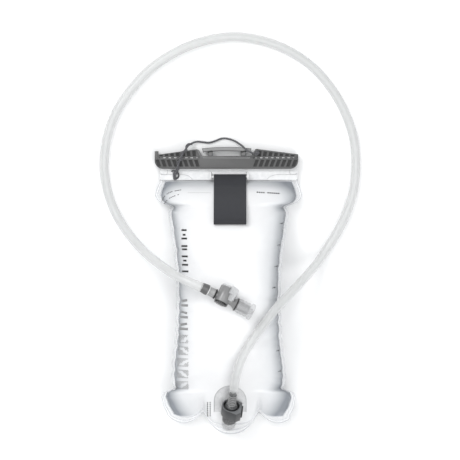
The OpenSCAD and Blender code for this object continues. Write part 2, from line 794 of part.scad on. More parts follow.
// Sector of a ring round the barrel's axis, from angle a0 to a1, measured from +X towards +Z
module ring_sector(r_in, r_out, a0, a1) {
    steps = 8;
    polygon(concat(
        [for (k = [0 : steps]) r_out * [cos(mix(a0, a1, k / steps)), sin(mix(a0, a1, k / steps))]],
        [for (k = [steps : -1 : 0]) r_in * [cos(mix(a0, a1, k / steps)), sin(mix(a0, a1, k / steps))]]
    ));
}
module shutoff_lever() {
    color(CLEAR_PLASTIC)
    at_barrel() {
        rod_y(cap_r, cap_y0, cap_y0 + 1.8);
        slab_y(cap_y0, cap_y0 + 1.8) ring_sector(4, tongue_out, 6, 76);
        slab_y(5.4, cap_y0 + 1) ring_sector(tongue_in, tongue_out, 6, 74);
        slab_y(0.2, 5.5) ring_sector(tongue_in, tongue_out, 31, 59.5);
        slab_y(-1.2, 0.3) ring_sector(tongue_in, tongue_out - 1.2, 34, 55);
    }
}
// Slotted cap that keeps the cock in at the barrel's lower end
module cock_cap() {
    y1 = -barrel_down - 0.12;
    color(BLACK)
    at_barrel()
    difference() {
        rod_y(barrel_r - 0.4, y1 - 1.5, y1);
        for (k = [-2 : 2]) {
            translate([k * 2.2 - 0.4, y1 - 2, -8]) cube([0.8, 1.3, 16]);
        }
    }
}
sheath_x0 = 16.7;
sheath_x1 = 35.2;
module bite_sheath() {
    ribs = 3;
    color(CLEAR_PLASTIC)
    at_barrel()
    difference() {
        turned_x(concat(
            [[5.2, sheath_x0], [7.3, sheath_x0], [7.7, sheath_x0 + 1.4]],
            [for (k = [0 : ribs - 1], q = [0 : 3])
                [q == 0 || q == 3 ? 7.2 : 7.8, sheath_x0 + 2 + 3.8 * k + [0, 0.5, 2.6, 3.1][q]]],
            [[7.6, sheath_x1 - 4.6], [sheath_r, sheath_x1 - 3.6]],
            [[sheath_r, sheath_x1 - 0.8], [sheath_r - 0.8, sheath_x1]],
            [[2, sheath_x1], [3.4, sheath_x1 - 1.6], [3.4, 31.2], [5.2, 30.4]]
        ));
        translate([sheath_x1 - 2.4, -0.2, -8]) cube([4, 0.4, 16]);
    }
}

// ---- Drawing -----------------------------------------------------------

front_film();
back_film();
header_front();
header_back();
mouth_rail_front();
mouth_rail_back();
strap_bail();
pull_strap();
slider_bar();
hanger_arch();
leash();
leash_loop();
leash_knot_header();
leash_knot_slider();
port_patch();
port_body();
port_stub();
port_sleeve();
port_poppet();
poppet_spring();
release_button();
hose_plug();
plug_oring();
drink_tube();
valve_barb();
valve_collar();
valve_oring();
valve_body();
shutoff_cock();
shutoff_lever();
cock_cap();
bite_sheath();
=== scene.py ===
import math
import random
from collections import namedtuple

import bmesh
import bpy
import numpy as np
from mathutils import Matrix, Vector, noise
from mathutils.bvhtree import BVHTree


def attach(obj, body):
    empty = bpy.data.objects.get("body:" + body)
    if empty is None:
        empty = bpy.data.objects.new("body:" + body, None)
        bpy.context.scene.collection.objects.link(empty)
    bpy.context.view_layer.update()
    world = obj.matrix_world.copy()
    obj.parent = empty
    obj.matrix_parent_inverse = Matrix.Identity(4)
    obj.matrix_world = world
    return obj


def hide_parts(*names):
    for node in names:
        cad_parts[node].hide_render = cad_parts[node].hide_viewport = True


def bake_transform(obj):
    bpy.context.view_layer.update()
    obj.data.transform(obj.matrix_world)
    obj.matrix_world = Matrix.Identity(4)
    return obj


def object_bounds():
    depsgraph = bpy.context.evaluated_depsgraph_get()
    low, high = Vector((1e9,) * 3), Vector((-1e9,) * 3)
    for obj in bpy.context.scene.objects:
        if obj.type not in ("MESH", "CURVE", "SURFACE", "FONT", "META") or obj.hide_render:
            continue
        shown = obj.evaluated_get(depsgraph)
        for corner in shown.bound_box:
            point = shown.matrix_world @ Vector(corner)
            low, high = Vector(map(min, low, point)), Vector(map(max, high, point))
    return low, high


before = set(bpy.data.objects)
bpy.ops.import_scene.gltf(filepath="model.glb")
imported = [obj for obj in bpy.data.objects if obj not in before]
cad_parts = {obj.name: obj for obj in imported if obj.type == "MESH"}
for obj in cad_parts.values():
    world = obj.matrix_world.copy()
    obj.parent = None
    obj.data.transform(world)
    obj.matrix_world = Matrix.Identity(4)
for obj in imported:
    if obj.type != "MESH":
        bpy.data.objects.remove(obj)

cad_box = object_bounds()
MM = 0.001
draw = random.Random(11)


# ---- Curves and meshes ----


def spline(points, steps):
    """Catmull-Rom curve through points, as an array of points."""
    p = np.array(points, float)
    p = np.vstack([2 * p[0] - p[1], p, 2 * p[-1] - p[-2]])
    line = []
    for i in range(1, len(p) - 2):
        a, b, c, d = p[i - 1 : i + 3]
        for t in np.arange(steps) / steps:
            line.append(
                0.5 * (2 * b + (c - a) * t + (2 * a - 5 * b + 4 * c - d) * t**2
                       + (3 * b - a - 3 * c + d) * t**3)
            )
    line.append(p[-2])
    return np.array(line)


def along(line):
    """Distance along a line at each of its points."""
    return np.concatenate([[0], np.cumsum(np.linalg.norm(np.diff(line, axis=0), axis=1))])


def evened(line, gap):
    """The same line with its points about gap apart."""
    far = along(line)
    at = np.linspace(0, far[-1], max(2, round(far[-1] / gap)) + 1)
    return np.column_stack([np.interp(at, far, line[:, k]) for k in range(3)])


def frames(line):
    """Two directions across the line at each point, turning as little as possible."""
    ahead = np.gradient(line, axis=0)
    ahead /= np.linalg.norm(ahead, axis=1)[:, None]
    first = Vector(ahead[0]).orthogonal().normalized()
    sides = []
    for direction in ahead:
        d = Vector(direction)
        first = (first - first.dot(d) * d).normalized()
        sides.append((np.array(first), np.array(d.cross(first))))
    return sides


def rings(line, radii, sides):
    """Rings of points round a line, an array of rings by sides by 3."""
    turn = 2 * math.pi * np.arange(sides) / sides
    out = []
    for point, radius, (a, b) in zip(line, radii, frames(line)):
        out.append(point + radius * (np.outer(np.cos(turn), a) + np.outer(np.sin(turn), b)))
    return np.array(out)


def skin(first, count, sides, flip=False):
    """Faces between rings whose points start at index first."""
    faces = []
    for i in range(count - 1):
        for k in range(sides):
            a = first + i * sides + k
            b = first + i * sides + (k + 1) % sides
            face = (a, b, b + sides, a + sides)
            faces.append(face[::-1] if flip else face)
    return faces


def place(name, mesh, material, body=None, node=None):
    """Make a smooth piece with one material that rides on body and stands in for a CAD node, which it hides.
    """
    mesh.name = name
    obj = bpy.data.objects.new(name, mesh)
    bpy.context.scene.collection.objects.link(obj)
    mesh.materials.clear()
    mesh.materials.append(material)
    mesh.shade_smooth()
    if body:
        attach(obj, body)
    if node:
        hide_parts(node)
    return obj


def mesh_from(points, faces):
    mesh = bpy.data.meshes.new("mesh")
    mesh.from_pydata([tuple(p) for p in points], [], faces)
    mesh.update()
    return mesh


def hollow_tube(line, outer, inner, sides):
    """A tube with a bore, closed at both ends by flat rims."""
    n = len(line)
    out = rings(line, outer, sides).reshape(-1, 3)
    bore = rings(line, inner, sides).reshape(-1, 3)
    faces = skin(0, n, sides) + skin(n * sides, n, sides, flip=True)
    for ring, flip in ((0, False), (n - 1, True)):
        for k in range(sides):
            a = ring * sides + k
            b = ring * sides + (k + 1) % sides
            face = (a, a + n * sides, b + n * sides, b)
            faces.append(face[::-1] if flip else face)
    return mesh_from(np.vstack([out, bore]), faces)


def solid_tube(line, radius, sides):
    """A round cord, closed at both ends. radius is one value or one for each point."""
    n = len(line)
    points = rings(line, np.broadcast_to(radius, n), sides).reshape(-1, 3)
    faces = skin(0, n, sides)
    faces.append(tuple(range(sides))[::-1])
    faces.append(tuple(range((n - 1) * sides, n * sides)))
    return mesh_from(points, faces)


def bead(points, radius, sides=8, steps=8):
    """A round bead of one thickness along a smooth path, all in millimetres."""
    return solid_tube(spline(points, steps) * MM, radius * MM, sides)


def grid_faces(rows, cols):
    """Faces of a grid whose points run along each row in turn."""
    across = cols + 1
    corners = [r * across + c for r in range(rows) for c in range(cols)]
    return [(a, a + 1, a + across + 1, a + across) for a in corners]


def turned(profile, start, axis, sides=48):
    """A body of revolution: a closed loop of (distance along the axis, radius), in millimetres."""
    start, axis = Vector(start), Vector(axis).normalized()
    a = axis.orthogonal().normalized()
    b = axis.cross(a)
    points = []
    for k in range(sides):
        turn = 2 * math.pi * k / sides
        out = a * math.cos(turn) + b * math.sin(turn)
        points += [start + (axis * far + out * radius) * MM for far, radius in profile]
    n = len(profile)
    faces = []
    for k in range(sides):
        for i in range(n):
            j = (i + 1) % n
            one, two = k * n, (k + 1) % sides * n
            faces.append((one + i, one + j, two + j, two + i))
    mesh = mesh_from(points, faces)
    tidy = bmesh.new()
    tidy.from_mesh(mesh)
    bmesh.ops.remove_doubles(tidy, verts=tidy.verts, dist=1e-6)
    bmesh.ops.recalc_face_normals(tidy, faces=tidy.faces)
    tidy.to_mesh(mesh)
    tidy.free()
    return mesh


def joined(meshes):
    """One mesh out of several."""
    whole = bmesh.new()
    for mesh in meshes:
        whole.from_mesh(mesh)
    out = bpy.data.meshes.new("mesh")
    whole.to_mesh(out)
    whole.free()
    return out


def baked(obj):
    """Apply an object's modifiers to its mesh."""
    seen = obj.evaluated_get(bpy.context.evaluated_depsgraph_get())
    mesh = bpy.data.meshes.new_from_object(seen)
    obj.modifiers.clear()
    obj.data = mesh
    return mesh


def thickened(obj, thickness, offset):
    """Give a sheet its thickness in millimetres: offset -1 is inwards and 1 outwards."""
    wall = obj.modifiers.new("wall", "SOLIDIFY")
    wall.thickness = thickness * MM
    wall.offset = offset
    baked(obj)
    obj.data.shade_smooth()


def painted(mesh, name, values):
    """Give a mesh's points a named value that its material can read."""
    mesh.attributes.new(name, "FLOAT", "POINT").data.foreach_set("value", values)


def refined(node, material, body, bevel=0.25, crease=32, second=None, chosen=None, dark_edges=False):
    """A copy of a CAD node with small rounded edges, which stands for the node.
    Faces for which chosen(centre, normal) holds take the second material."""
    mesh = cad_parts[node].data.copy()
    work = bmesh.new()
    work.from_mesh(mesh)
    bmesh.ops.remove_doubles(work, verts=work.verts, dist=1e-6)
    bmesh.ops.dissolve_limit(work, angle_limit=math.radians(1), verts=work.verts, edges=work.edges)
    work.to_mesh(mesh)
    work.free()
    obj = place(node + "_finished", mesh, material, body, node)
    if second:
        mesh.materials.append(second)
        for face in mesh.polygons:
            face.material_index = int(chosen(face.center / MM, face.normal))
    if bevel:
        edge = obj.modifiers.new("edge", "BEVEL")
        edge.width = bevel * MM
        edge.segments = 2
        edge.limit_method = "ANGLE"
        edge.angle_limit = math.radians(crease)
        edge.use_clamp_overlap = True
        edge.material = 1 if dark_edges else -1
        baked(obj)
    obj.data.shade_smooth()
    obj.data.set_sharp_from_angle(angle=math.radians(crease))
    return obj


# ---- Materials ----


def shader_for(name, roughness, **sockets):
    """A new material, its node tree and its Principled shader."""
    material = bpy.data.materials.new(name)
    material.use_nodes = True
    tree = material.node_tree
    shader = tree.nodes["Principled BSDF"]
    shader.inputs["Roughness"].default_value = roughness
    for socket, value in sockets.items():
        shader.inputs[socket.replace("_", " ")].default_value = value
    return material, tree, shader


def add(tree, kind, **values):
    """A node with some of its inputs or settings given."""
    node = tree.nodes.new(kind)
    for name, value in values.items():
        label = name.replace("_", " ")
        if label in node.inputs:
            node.inputs[label].default_value = value
        else:
            setattr(node, name, value)
    return node


def feed(node, socket, source):
    """Let source set one of a node's sockets."""
    node.id_data.links.new(source, node.inputs[socket])


def place_of(tree):
    """Coordinates in metres in the part's own frame."""
    return add(tree, "ShaderNodeTexCoord").outputs["Object"]


def grain(tree, scale, detail=3.0, rough=0.6):
    """Noise whose features are about scale millimetres."""
    node = add(tree, "ShaderNodeTexNoise", Scale=1 / (scale * MM), Detail=detail, Roughness=rough)
    feed(node, "Vector", place_of(tree))
    return node.outputs["Fac"]


def grey(value):
    return (value, value, value)


def ramp(source, stops):
    """A colour ramp of (place, colour) stops."""
    node = add(source.id_data, "ShaderNodeValToRGB")
    feed(node, "Fac", source)
    line = node.color_ramp.elements
    while len(line) < len(stops):
        line.new(0.5)
    for element, (at, colour) in zip(line, stops):
        element.position = at
        element.color = (*colour, 1) if len(colour) == 3 else colour
    return node.outputs["Color"]


def clouds(source, dark, pale):
    """Two shades, grey levels or colours, spread over a noise."""
    low, high = [grey(shade) if isinstance(shade, float) else shade for shade in (dark, pale)]
    return ramp(source, [(0.3, low), (0.7, high)])


def sharp_edges(tree, start, most):
    """0 on flat faces, rising to most along convex edges."""
    bend = add(tree, "ShaderNodeNewGeometry").outputs["Pointiness"]
    return ramp(bend, [(start, grey(0)), (start + 0.1, grey(most))])


def mixed(tree, factor, first, second, blend="MIX"):
    """Mix of two colours, each a socket or a value."""
    node = add(tree, "ShaderNodeMix", data_type="RGBA", blend_type=blend)
    for socket, value in ((node.inputs[0], factor), (node.inputs[6], first), (node.inputs[7], second)):
        if hasattr(value, "links"):
            tree.links.new(value, socket)
        else:
            socket.default_value = value if isinstance(value, float) else (*value, 1)
    return node.outputs[2]


def scaled(source, low, high):
    """The 0 to 1 source, spread over low to high."""
    node = add(source.id_data, "ShaderNodeMapRange")
    node.inputs["To Min"].default_value = low
    node.inputs["To Max"].default_value = high
    feed(node, "Value", source)
    return node.outputs["Result"]


def bumped(shader, height, depth, strength=1.0):
    """Bump of depth millimetres from a 0 to 1 height."""
    node = add(shader.id_data, "ShaderNodeBump", Strength=strength, Distance=depth * MM)
    feed(node, "Height", height)
    feed(shader, "Normal", node.outputs["Normal"])


def attribute(tree, name):
    return add(tree, "ShaderNodeAttribute", attribute_name=name).outputs["Fac"]


def moulded(name, tone, roughness, blue=0.0, edge_highlight=0.25, sparkle=0.03):
    """Moulded plastic with a fine eroded surface, faint clouds and convex edges painted lighter as highlight.
    """
    material, tree, shader = shader_for(name, roughness, Coat_Weight=0.0, Specular_IOR_Level=0.5)
    base = (tone * (1 - blue), tone, tone * (1 + 1.2 * blue))
    cloud = clouds(grain(tree, 14, 4), [0.93 * c for c in base], [1.07 * c for c in base])
    # Painted highlight: convex edges are mixed towards a much lighter tone.
    edge = sharp_edges(tree, 0.52, edge_highlight)
    lit_edges = mixed(tree, edge, cloud, tuple(min(1, 1.9 * c + 0.03) for c in base))
    feed(shader, "Base Color", lit_edges)
    rough = scaled(grain(tree, 3, 2), roughness - 0.06, roughness + 0.08)
    feed(shader, "Roughness", rough)
    bumped(shader, grain(tree, 0.25, 2), sparkle, 0.6)
    return material


def clear_film():
    """Clear polyurethane film with a soft haze, denser and darker along its weld lines, and painted shade
    that greys it where its rim value rises.
    """
    material, tree, shader = shader_for("clear_film", 0.24, IOR=1.48, Specular_IOR_Level=0.55)
    haze = grain(tree, 26, 4, 0.55)
    # Painted shade: the rim value takes the film from near white to dark grey.
    painted_shade = ramp(attribute(tree, "rim"), [
        (0.0, (0.985, 0.985, 0.99)), (0.3, (0.86, 0.87, 0.885)),
        (0.65, (0.56, 0.58, 0.605)), (1.0, (0.31, 0.33, 0.36))])
    soft = mixed(tree, 0.12, painted_shade, ramp(haze, [(0.35, grey(0.75)), (0.65, grey(1.0))]), "MULTIPLY")
    lines = attribute(tree, "weld_line")
    lined = mixed(tree, scaled(lines, 0.0, 0.8), soft, (0.50, 0.53, 0.57))
    feed(shader, "Base Color", lined)
    alpha = add(tree, "ShaderNodeMath", operation="ADD")
    tree.links.new(scaled(attribute(tree, "body"), 0.12, 0.74), alpha.inputs[0])
    tree.links.new(scaled(lines, 0.0, 0.4), alpha.inputs[1])
    feed(shader, "Alpha", alpha.outputs[0])
    feed(shader, "Roughness", scaled(haze, 0.16, 0.32))
    bumped(shader, grain(tree, 1.6, 3), 0.05, 0.5)
    return material


def clear_moulding(name, tone, alpha, roughness=0.2, blue=0.01):
    """Clear moulded plastic or silicone, with flow clouds, fine ripples and convex edges painted darker as
    shade.
    """
    material, tree, shader = shader_for(name, roughness, IOR=1.47, Specular_IOR_Level=0.6)
    base = (tone * (1 - blue), tone, tone * (1 + blue))
    cloud = clouds(grain(tree, 5, 3), [0.9 * c for c in base], [min(1, 1.05 * c) for c in base])
    # Painted shade: convex edges are mixed towards a darker tone.
    edge = sharp_edges(tree, 0.5, 0.5)
    feed(shader, "Base Color", mixed(tree, edge, cloud, tuple(0.62 * c for c in base)))
    feed(shader, "Alpha", scaled(grain(tree, 4, 2), alpha - 0.06, alpha + 0.06))
    bumped(shader, grain(tree, 0.9, 2), 0.04, 0.5)
    return material


def hose_material():
    """Frosted polyurethane hose with drawn streaks along it, and its bore painted darker as shade."""
    material, tree, shader = shader_for("hose", 0.28, IOR=1.5, Specular_IOR_Level=0.6)
    cloud = clouds(grain(tree, 9, 4), (0.74, 0.745, 0.74), (0.78, 0.785, 0.78))
    core = mixed(tree, attribute(tree, "bore"), cloud, (0.36, 0.37, 0.38))
    feed(shader, "Base Color", core)
    feed(shader, "Alpha", attribute(tree, "haze"))
    feed(shader, "Roughness", scaled(grain(tree, 6, 2), 0.2, 0.3))
    bumped(shader, grain(tree, 3.0, 2), 0.03, 0.4)
    return material


def cord_material():
    """Braided polyester cord: crossing strands and a little fuzz."""
    material, tree, shader = shader_for("cord", 0.7, Sheen_Weight=0.25, Sheen_Roughness=0.5)
    strands = attribute(tree, "braid")
    shade = ramp(strands, [(0.0, (0.018, 0.018, 0.021)), (1.0, (0.115, 0.115, 0.125))])
    fuzz = clouds(grain(tree, 0.4, 2), 0.75, 1.0)
    feed(shader, "Base Color", mixed(tree, 0.6, shade, fuzz, "MULTIPLY"))
    bumped(shader, strands, 0.25, 0.8)
    return material


def webbing_material():
    """Dense woven webbing: ribs across and yarns along, painted darker as shade where its edge value rises.
    """
    material, tree, shader = shader_for("webbing", 0.72, Sheen_Weight=0.2, Sheen_Roughness=0.45)
    weave = add(tree, "ShaderNodeTexWave", wave_type="BANDS", bands_direction="Y",
                Scale=420.0, Distortion=0.5, Detail=1.0)
    weave.inputs["Detail Scale"].default_value = 2.0
    yarn = add(tree, "ShaderNodeTexWave", wave_type="BANDS", bands_direction="X",
               Scale=520.0, Distortion=0.4, Detail=1.0)
    feed(weave, "Vector", place_of(tree))
    feed(yarn, "Vector", place_of(tree))
    cross = mixed(tree, 1.0, weave.outputs["Color"], yarn.outputs["Color"], "MULTIPLY")
    cloth = ramp(cross, [(0.0, (0.016, 0.017, 0.021)), (0.8, (0.035, 0.037, 0.046))])
    lint = clouds(grain(tree, 7, 4), 0.7, 1.0)
    dust = mixed(tree, 0.3, cloth, lint, "MULTIPLY")
    # Painted shade: where the edge value rises the webbing is mixed towards near black.
    edge_shaded = mixed(tree, attribute(tree, "edge"), dust, (0.010, 0.010, 0.013))
    feed(shader, "Base Color", edge_shaded)
    bumped(shader, cross, 0.1, 0.5)
    return material


def metal(name):
    """Drawn spring wire."""
    material, tree, shader = shader_for(name, 0.3, Metallic=1.0)
    colour = clouds(grain(tree, 1.5, 3), 0.5, 0.66)
    feed(shader, "Base Color", colour)
    feed(shader, "Roughness", scaled(grain(tree, 0.8, 2), 0.22, 0.4))
    bumped(shader, grain(tree, 0.3, 2), 0.01, 0.5)
    return material


def ink_material(name, dark, pale, thin, thick):
    """Screen print, a little broken by the film's texture."""
    material, tree, shader = shader_for(name, 0.5)
    shade = ramp(grain(tree, 1.0, 3), [(0.35, grey(dark)), (0.7, grey(pale))])
    feed(shader, "Base Color", shade)
    feed(shader, "Alpha", scaled(grain(tree, 0.7, 3), thin, thick))
    bumped(shader, grain(tree, 0.5, 2), 0.02, 0.4)
    return material


def floor_material():
    """Pale matt sweep."""
    material, tree, shader = shader_for("floor", 0.85)
    shade = clouds(grain(tree, 300, 2), 0.865, 0.885)
    feed(shader, "Base Color", shade)
    bumped(shader, grain(tree, 1.2, 2), 0.02, 0.2)
    return material


FILM = clear_film()
CLEAR = clear_moulding("clear_plastic", 0.98, 0.74)
# The clear film over the port takes a grey tone that is painted shade.
SLEEVE = clear_moulding("clear_sleeve", 0.55, 0.10)
WELD = clear_moulding("weld_bead", 0.66, 0.7)
# The bail's rim bead is grey as painted shade along the clear bail's edge.
BAIL_RIM = clear_moulding("bail_rim", 0.50, 0.8)
SILICONE = clear_moulding("silicone", 0.60, 0.30, 0.2)
LEVER = clear_moulding("lever_clear", 0.84, 0.55, 0.15)
HOSE = hose_material()
CORD = cord_material()
WEBBING = webbing_material()
SLIDER_GREY = moulded("slider_grey", 0.058, 0.42)
# Pocket floors are painted darker as shade.
POCKET_SHADE = moulded("slider_pocket_shade", 0.022, 0.65, edge_highlight=0.0, sparkle=0.06)
HANGER_GREY = moulded("hanger_grey", 0.21, 0.4)
# The hanger's sides and rounded edges take a darker tone as painted shade.
HANGER_SHADE = moulded("hanger_side_shade", 0.07, 0.45)
# The waist trim is paler than the closure as a painted highlight.
WAIST_HIGHLIGHT = moulded("waist_highlight", 0.15, 0.4)
PORT_GREY = moulded("port_grey", 0.05, 0.34, blue=0.03)
# The port's mouth face is painted lighter as highlight.
PORT_RIM_HIGHLIGHT = moulded("port_rim_highlight", 0.13, 0.3, blue=0.03)
STUB_GREY = moulded("stub_grey", 0.028, 0.4)
COLLAR_GREY = moulded("collar_grey", 0.10, 0.34)
RING_GREY = moulded("ring_grey", 0.27, 0.28)
VALVE_GREY = moulded("valve_grey", 0.21, 0.14, edge_highlight=0.2, sparkle=0.01)
# A pale tone used as painted highlight on the valve's barb and as painted light seen through the closure's
# slots.
PALE_HIGHLIGHT = moulded("pale_highlight", 0.75, 0.2, edge_highlight=0.0)
BUTTON_BLACK = moulded("button_black", 0.006, 0.3, edge_highlight=0.1)
RUBBER = moulded("rubber_black", 0.014, 0.55, edge_highlight=0.05)
STEEL = metal("spring_steel")
INK = ink_material("print", 0.012, 0.04, 0.75, 1.0)
HALFTONE = ink_material("halftone", 0.30, 0.42, 0.5, 0.85)


# ---- Camera ----


def add_camera():
    """Straight above the object, through a long lens."""
    height = 3.0
    frame_width = 0.493
    sensor = 36.0
    data = bpy.data.cameras.new("camera")
    data.sensor_width = sensor
    data.lens = sensor * height / frame_width
    data.clip_end = 20
    camera = bpy.data.objects.new("camera", data)
    middle = [(low + high) / 2 for low, high in zip(*cad_box)]
    table_to_bulge = 0.04
    camera.location = (middle[0], middle[1] + 0.003, height + table_to_bulge)
    bpy.context.scene.collection.objects.link(camera)
    bpy.context.scene.camera = camera


add_camera()


# ---- Drinking hose ----

# The middle of the port's mouth and the direction in which the plug leaves it
PORT_MOUTH = np.array((0.003, -0.1231, 0.045))
PORT_AXIS = np.array((0.10343, 0.73591, 0.66913))
HOSE_D = 0.0095
# The middle lines of the hose and of the leash are in millimetres
HOSE_ROUTE = [
    (5, -109.3, 57.6), (6.5, -99, 66.8), (9, -86, 74.5), (14, -71, 78.5), (22, -56.5, 79.5), (32, -42, 76),
    (43, -28, 68), (55, -14, 56), (68, -1, 41), (82, 13, 25), (96, 29, 11), (107, 45, 5.4), (117, 61, 4.8),
    (127, 81, 4.8), (135, 106, 4.8), (138, 133, 4.8), (136, 162, 4.8), (127, 190, 4.8), (112, 217, 4.8),
    (90, 242, 4.8), (63, 260, 4.8), (32, 271, 4.8), (0, 274, 4.8), (-32, 268, 4.8), (-60, 256, 4.8),
    (-86, 238, 4.8), (-107, 215, 4.8), (-123, 190, 4.8), (-132, 163, 4.8), (-135, 134, 4.8), (-131, 106, 5),
    (-122, 82, 8.5), (-109, 62, 21), (-93, 44, 40), (-76, 30, 61), (-59, 18.5, 79), (-43, 10.5, 89),
    (-28.2, 4.3, 91.2),
]


def step(t):
    """Smooth step from 0 to 1."""
    t = np.clip(t, 0, 1)
    return t * t * (3 - 2 * t)


def add_hose():
    """Hollow hose, stretched over the plug's barb at one end and the valve's barb at the other."""
    collar = PORT_MOUTH + PORT_AXIS * 0.0016
    run = spline(HOSE_ROUTE, 10) * MM
    line = evened(np.vstack([collar, PORT_MOUTH + PORT_AXIS * 0.008, run]), 2.0 * MM)
    far = along(line)
    wall = 1.55 * MM
    barb_swell = 1.15 * MM * (1 - step((far - 0.013) / 0.010))
    rings_on_barb = 0.12 * MM * np.sin(far / (2.6 * MM) * 2 * math.pi) * (far < 0.0165)
    end_swell = 0.2 * MM * step((far - far[-1] + 0.012) / 0.008)
    outer = HOSE_D / 2 + barb_swell + rings_on_barb + end_swell
    inner = outer - wall
    sides = 28
    mesh = hollow_tube(line, outer, inner, sides)
    half = len(mesh.vertices) // 2
    # Painted shade: the bore is darker, most of all near the port.
    deep = np.repeat(0.3 + 0.7 * (1 - step((far - 0.04) / 0.14)), sides)
    shaded = np.concatenate([np.zeros(half), deep])
    painted(mesh, "bore", shaded)
    clearer = 1 - 0.9 * (1 - step((far - 0.018) / 0.008))
    haze = np.concatenate([np.repeat(0.52 * clearer, sides), np.repeat(0.30 * clearer, sides)])
    painted(mesh, "haze", haze)
    hose = place("drinking_hose", mesh, HOSE, node="drink_tube")
    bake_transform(hose)
    return hose, line


# ---- Leash ----

LEASH_ROUTE = [
    (27.2, 147.4, 14.2), (23, 149, 13.6), (18, 152.5, 11.8), (13, 157, 7.5), (7, 161, 3), (0, 163.5, 1.2),
    (-7, 164, 1.1), (-14, 161.5, 1.1), (-21, 159.5, 1.1), (-28, 160, 1.1), (-34, 160.5, 1.6), (-39, 159, 4),
    (-43.5, 156, 8.5), (-46.5, 152, 12), (-49, 148, 14), (-51.5, 143, 14.5), (-53.5, 138, 14.5),
    (-55, 133.5, 14.5), (-56, 130.2, 14.2), (-56.4, 128, 12.2),
]
LEASH_D = 0.002


def strand(line, radius, sides=10):
    """A braided cord along a line, whose crossing strands are a 0 to 1 value on its points."""
    mesh = solid_tube(line, radius, sides)
    lay = 2.4 * MM
    braid = []
    for distance in along(line):
        for turn in 2 * math.pi * np.arange(sides) / sides:
            one = math.cos(3 * turn + 2 * math.pi * distance / lay)
            two = math.cos(3 * turn - 2 * math.pi * distance / lay)
            braid.append(0.5 + 0.5 * max(one, two))
    painted(mesh, "braid", braid)
    return mesh


def add_leash():
    line = evened(spline(LEASH_ROUTE, 8) * MM, 0.4 * MM)
    cord = place("leash_cord", strand(line, LEASH_D / 2, 16), CORD, node="leash")
    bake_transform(cord)
    return cord, line


hose, hose_line = add_hose()
leash, leash_line = add_leash()


# ---- The bag's shape, in millimetres ----

FILM_T = 0.6
FRONT_RISE = 40
BACK_DROP = 44
SEAM_Z = 36
MOUTH_Z = 6.5
POCKET_BOTTOM = -137
POCKET_TOP = 117
HEADER_HALF = 74.5
FILM_TOP = 119.5
CORNER_HALF = 66
LOBE_X = 2.6
POCKET_SIDE = [
    (-137, 58), (-130, 64), (-118, 67.5), (-109.5, 66.5), (-107, 57.4), (-98, 59), (-80, 57.8),
    (-50, 54.3), (-10, 52.8), (20, 53.3), (45, 55.8), (70, 59.6), (84, 61.8), (90.4, 59.8),
    (92.8, 68.8), (97, 71.8), (102, 73), (110, 71), (117, 68),
]
WELD_SIDE = [(-137, 8), (-120, 5), (-106, 3.2), (84, 3.2), (92, 3.8), (102, 6.6), (117, 6.5)]


def looked_up(table, y):
    ys, values = zip(*table)
    return np.interp(y, ys, values)


def half_width(y):
    near = looked_up(POCKET_SIDE, y - 1.4) + 2 * looked_up(POCKET_SIDE, y) + looked_up(POCKET_SIDE, y + 1.4)
    return near / 4


def lobes(x, middle, side, notch, flat):
    """The bottom edge: a middle lobe and two side lobes. A flat edge stays low up to the notches."""
    far = abs(x - LOBE_X)
    if far < 30:
        return -middle + (middle - notch) * (far / 30) ** (5 if flat else 2.4)
    off = (far - 51) / 21
    return -side + (side - notch) * abs(off) ** (3.6 if flat and off < 0 else 2)


def bottom_in(x):
    return lobes(x, 143.5, 136.2, 126.5, True)


def bottom_out(x):
    return lobes(x, 155.6, 143.9, 131.7, False)


def seam(y):
    low = 16
    if y > 40:
        return SEAM_Z + (MOUTH_Z - SEAM_Z) * step((y - 40) / 77)
    if y < -50:
        return SEAM_Z + (low - SEAM_Z) * step((-50 - y) / 87)
    return SEAM_Z


def side_round(u):
    return max(0, 1 - abs(u) ** 2.3) ** 0.62


def end_round(y):
    t = min(1, max(0, (POCKET_TOP - y) / 62))
    b = min(1, max(0, (y - POCKET_BOTTOM) / 95))
    return max(0, 1 - (1 - t) ** 2.2) ** 0.62 * max(0, 1 - (1 - b) ** 1.8) ** 0.85


def front_z(x, y):
    """Height of the front film's face, without its creases."""
    u = min(1, abs(x) / half_width(y))
    return seam(y) + FILM_T + FRONT_RISE * side_round(u) * end_round(y)


# A pucker that runs in from a side seam
Fold = namedtuple("Fold", "side y width reach depth slant")


def fold_depth(fold, x, y, half):
    """How deep one pucker is at a point of the film."""
    if x * fold.side <= 0:
        return 0.0
    inward = half - abs(x)
    off = (y - fold.y - fold.slant * inward) / (fold.width * (1 + 0.04 * inward))
    fade = math.exp(-((inward / fold.reach) ** 2)) * min(1, 0.25 + inward / 5)
    return fold.depth * fade * math.exp(-off * off)


def side_folds(side):
    """Puckers at uneven steps up one side seam, deeper low down where the bag is fullest."""
    folds = []
    y = -97.0
    while y < 82:
        low = 1 - step((y + 60) / 130)
        folds.append(Fold(
            side, y, draw.uniform(1.9, 3.4), draw.uniform(9, 21),
            (0.9 + 1.1 * low) * draw.uniform(0.6, 1.25), draw.uniform(-0.35, 0.35)))
        y += draw.uniform(8.5, 14.5) * (1 + 0.7 * (1 - low))
    folds.append(Fold(side, -106.5, 3.2, 24, 3.4, 0.30))
    folds.append(Fold(side, 90.5, 3.4, 26, 3.2, -0.28))
    return folds


FOLDS = side_folds(-1) + side_folds(1)


def pucker(x, y, half):
    return sum(fold_depth(fold, x, y, half) for fold in FOLDS)


def scallop(y, side):
    """How far the seam is pulled in by its puckers."""
    pull = 0.0
    for fold in FOLDS:
        if fold.side == side and abs(fold.y - y) < 12:
            pull += 0.55 * fold.depth * math.exp(-(((y - fold.y) / (1.5 * fold.width)) ** 2))
    return pull


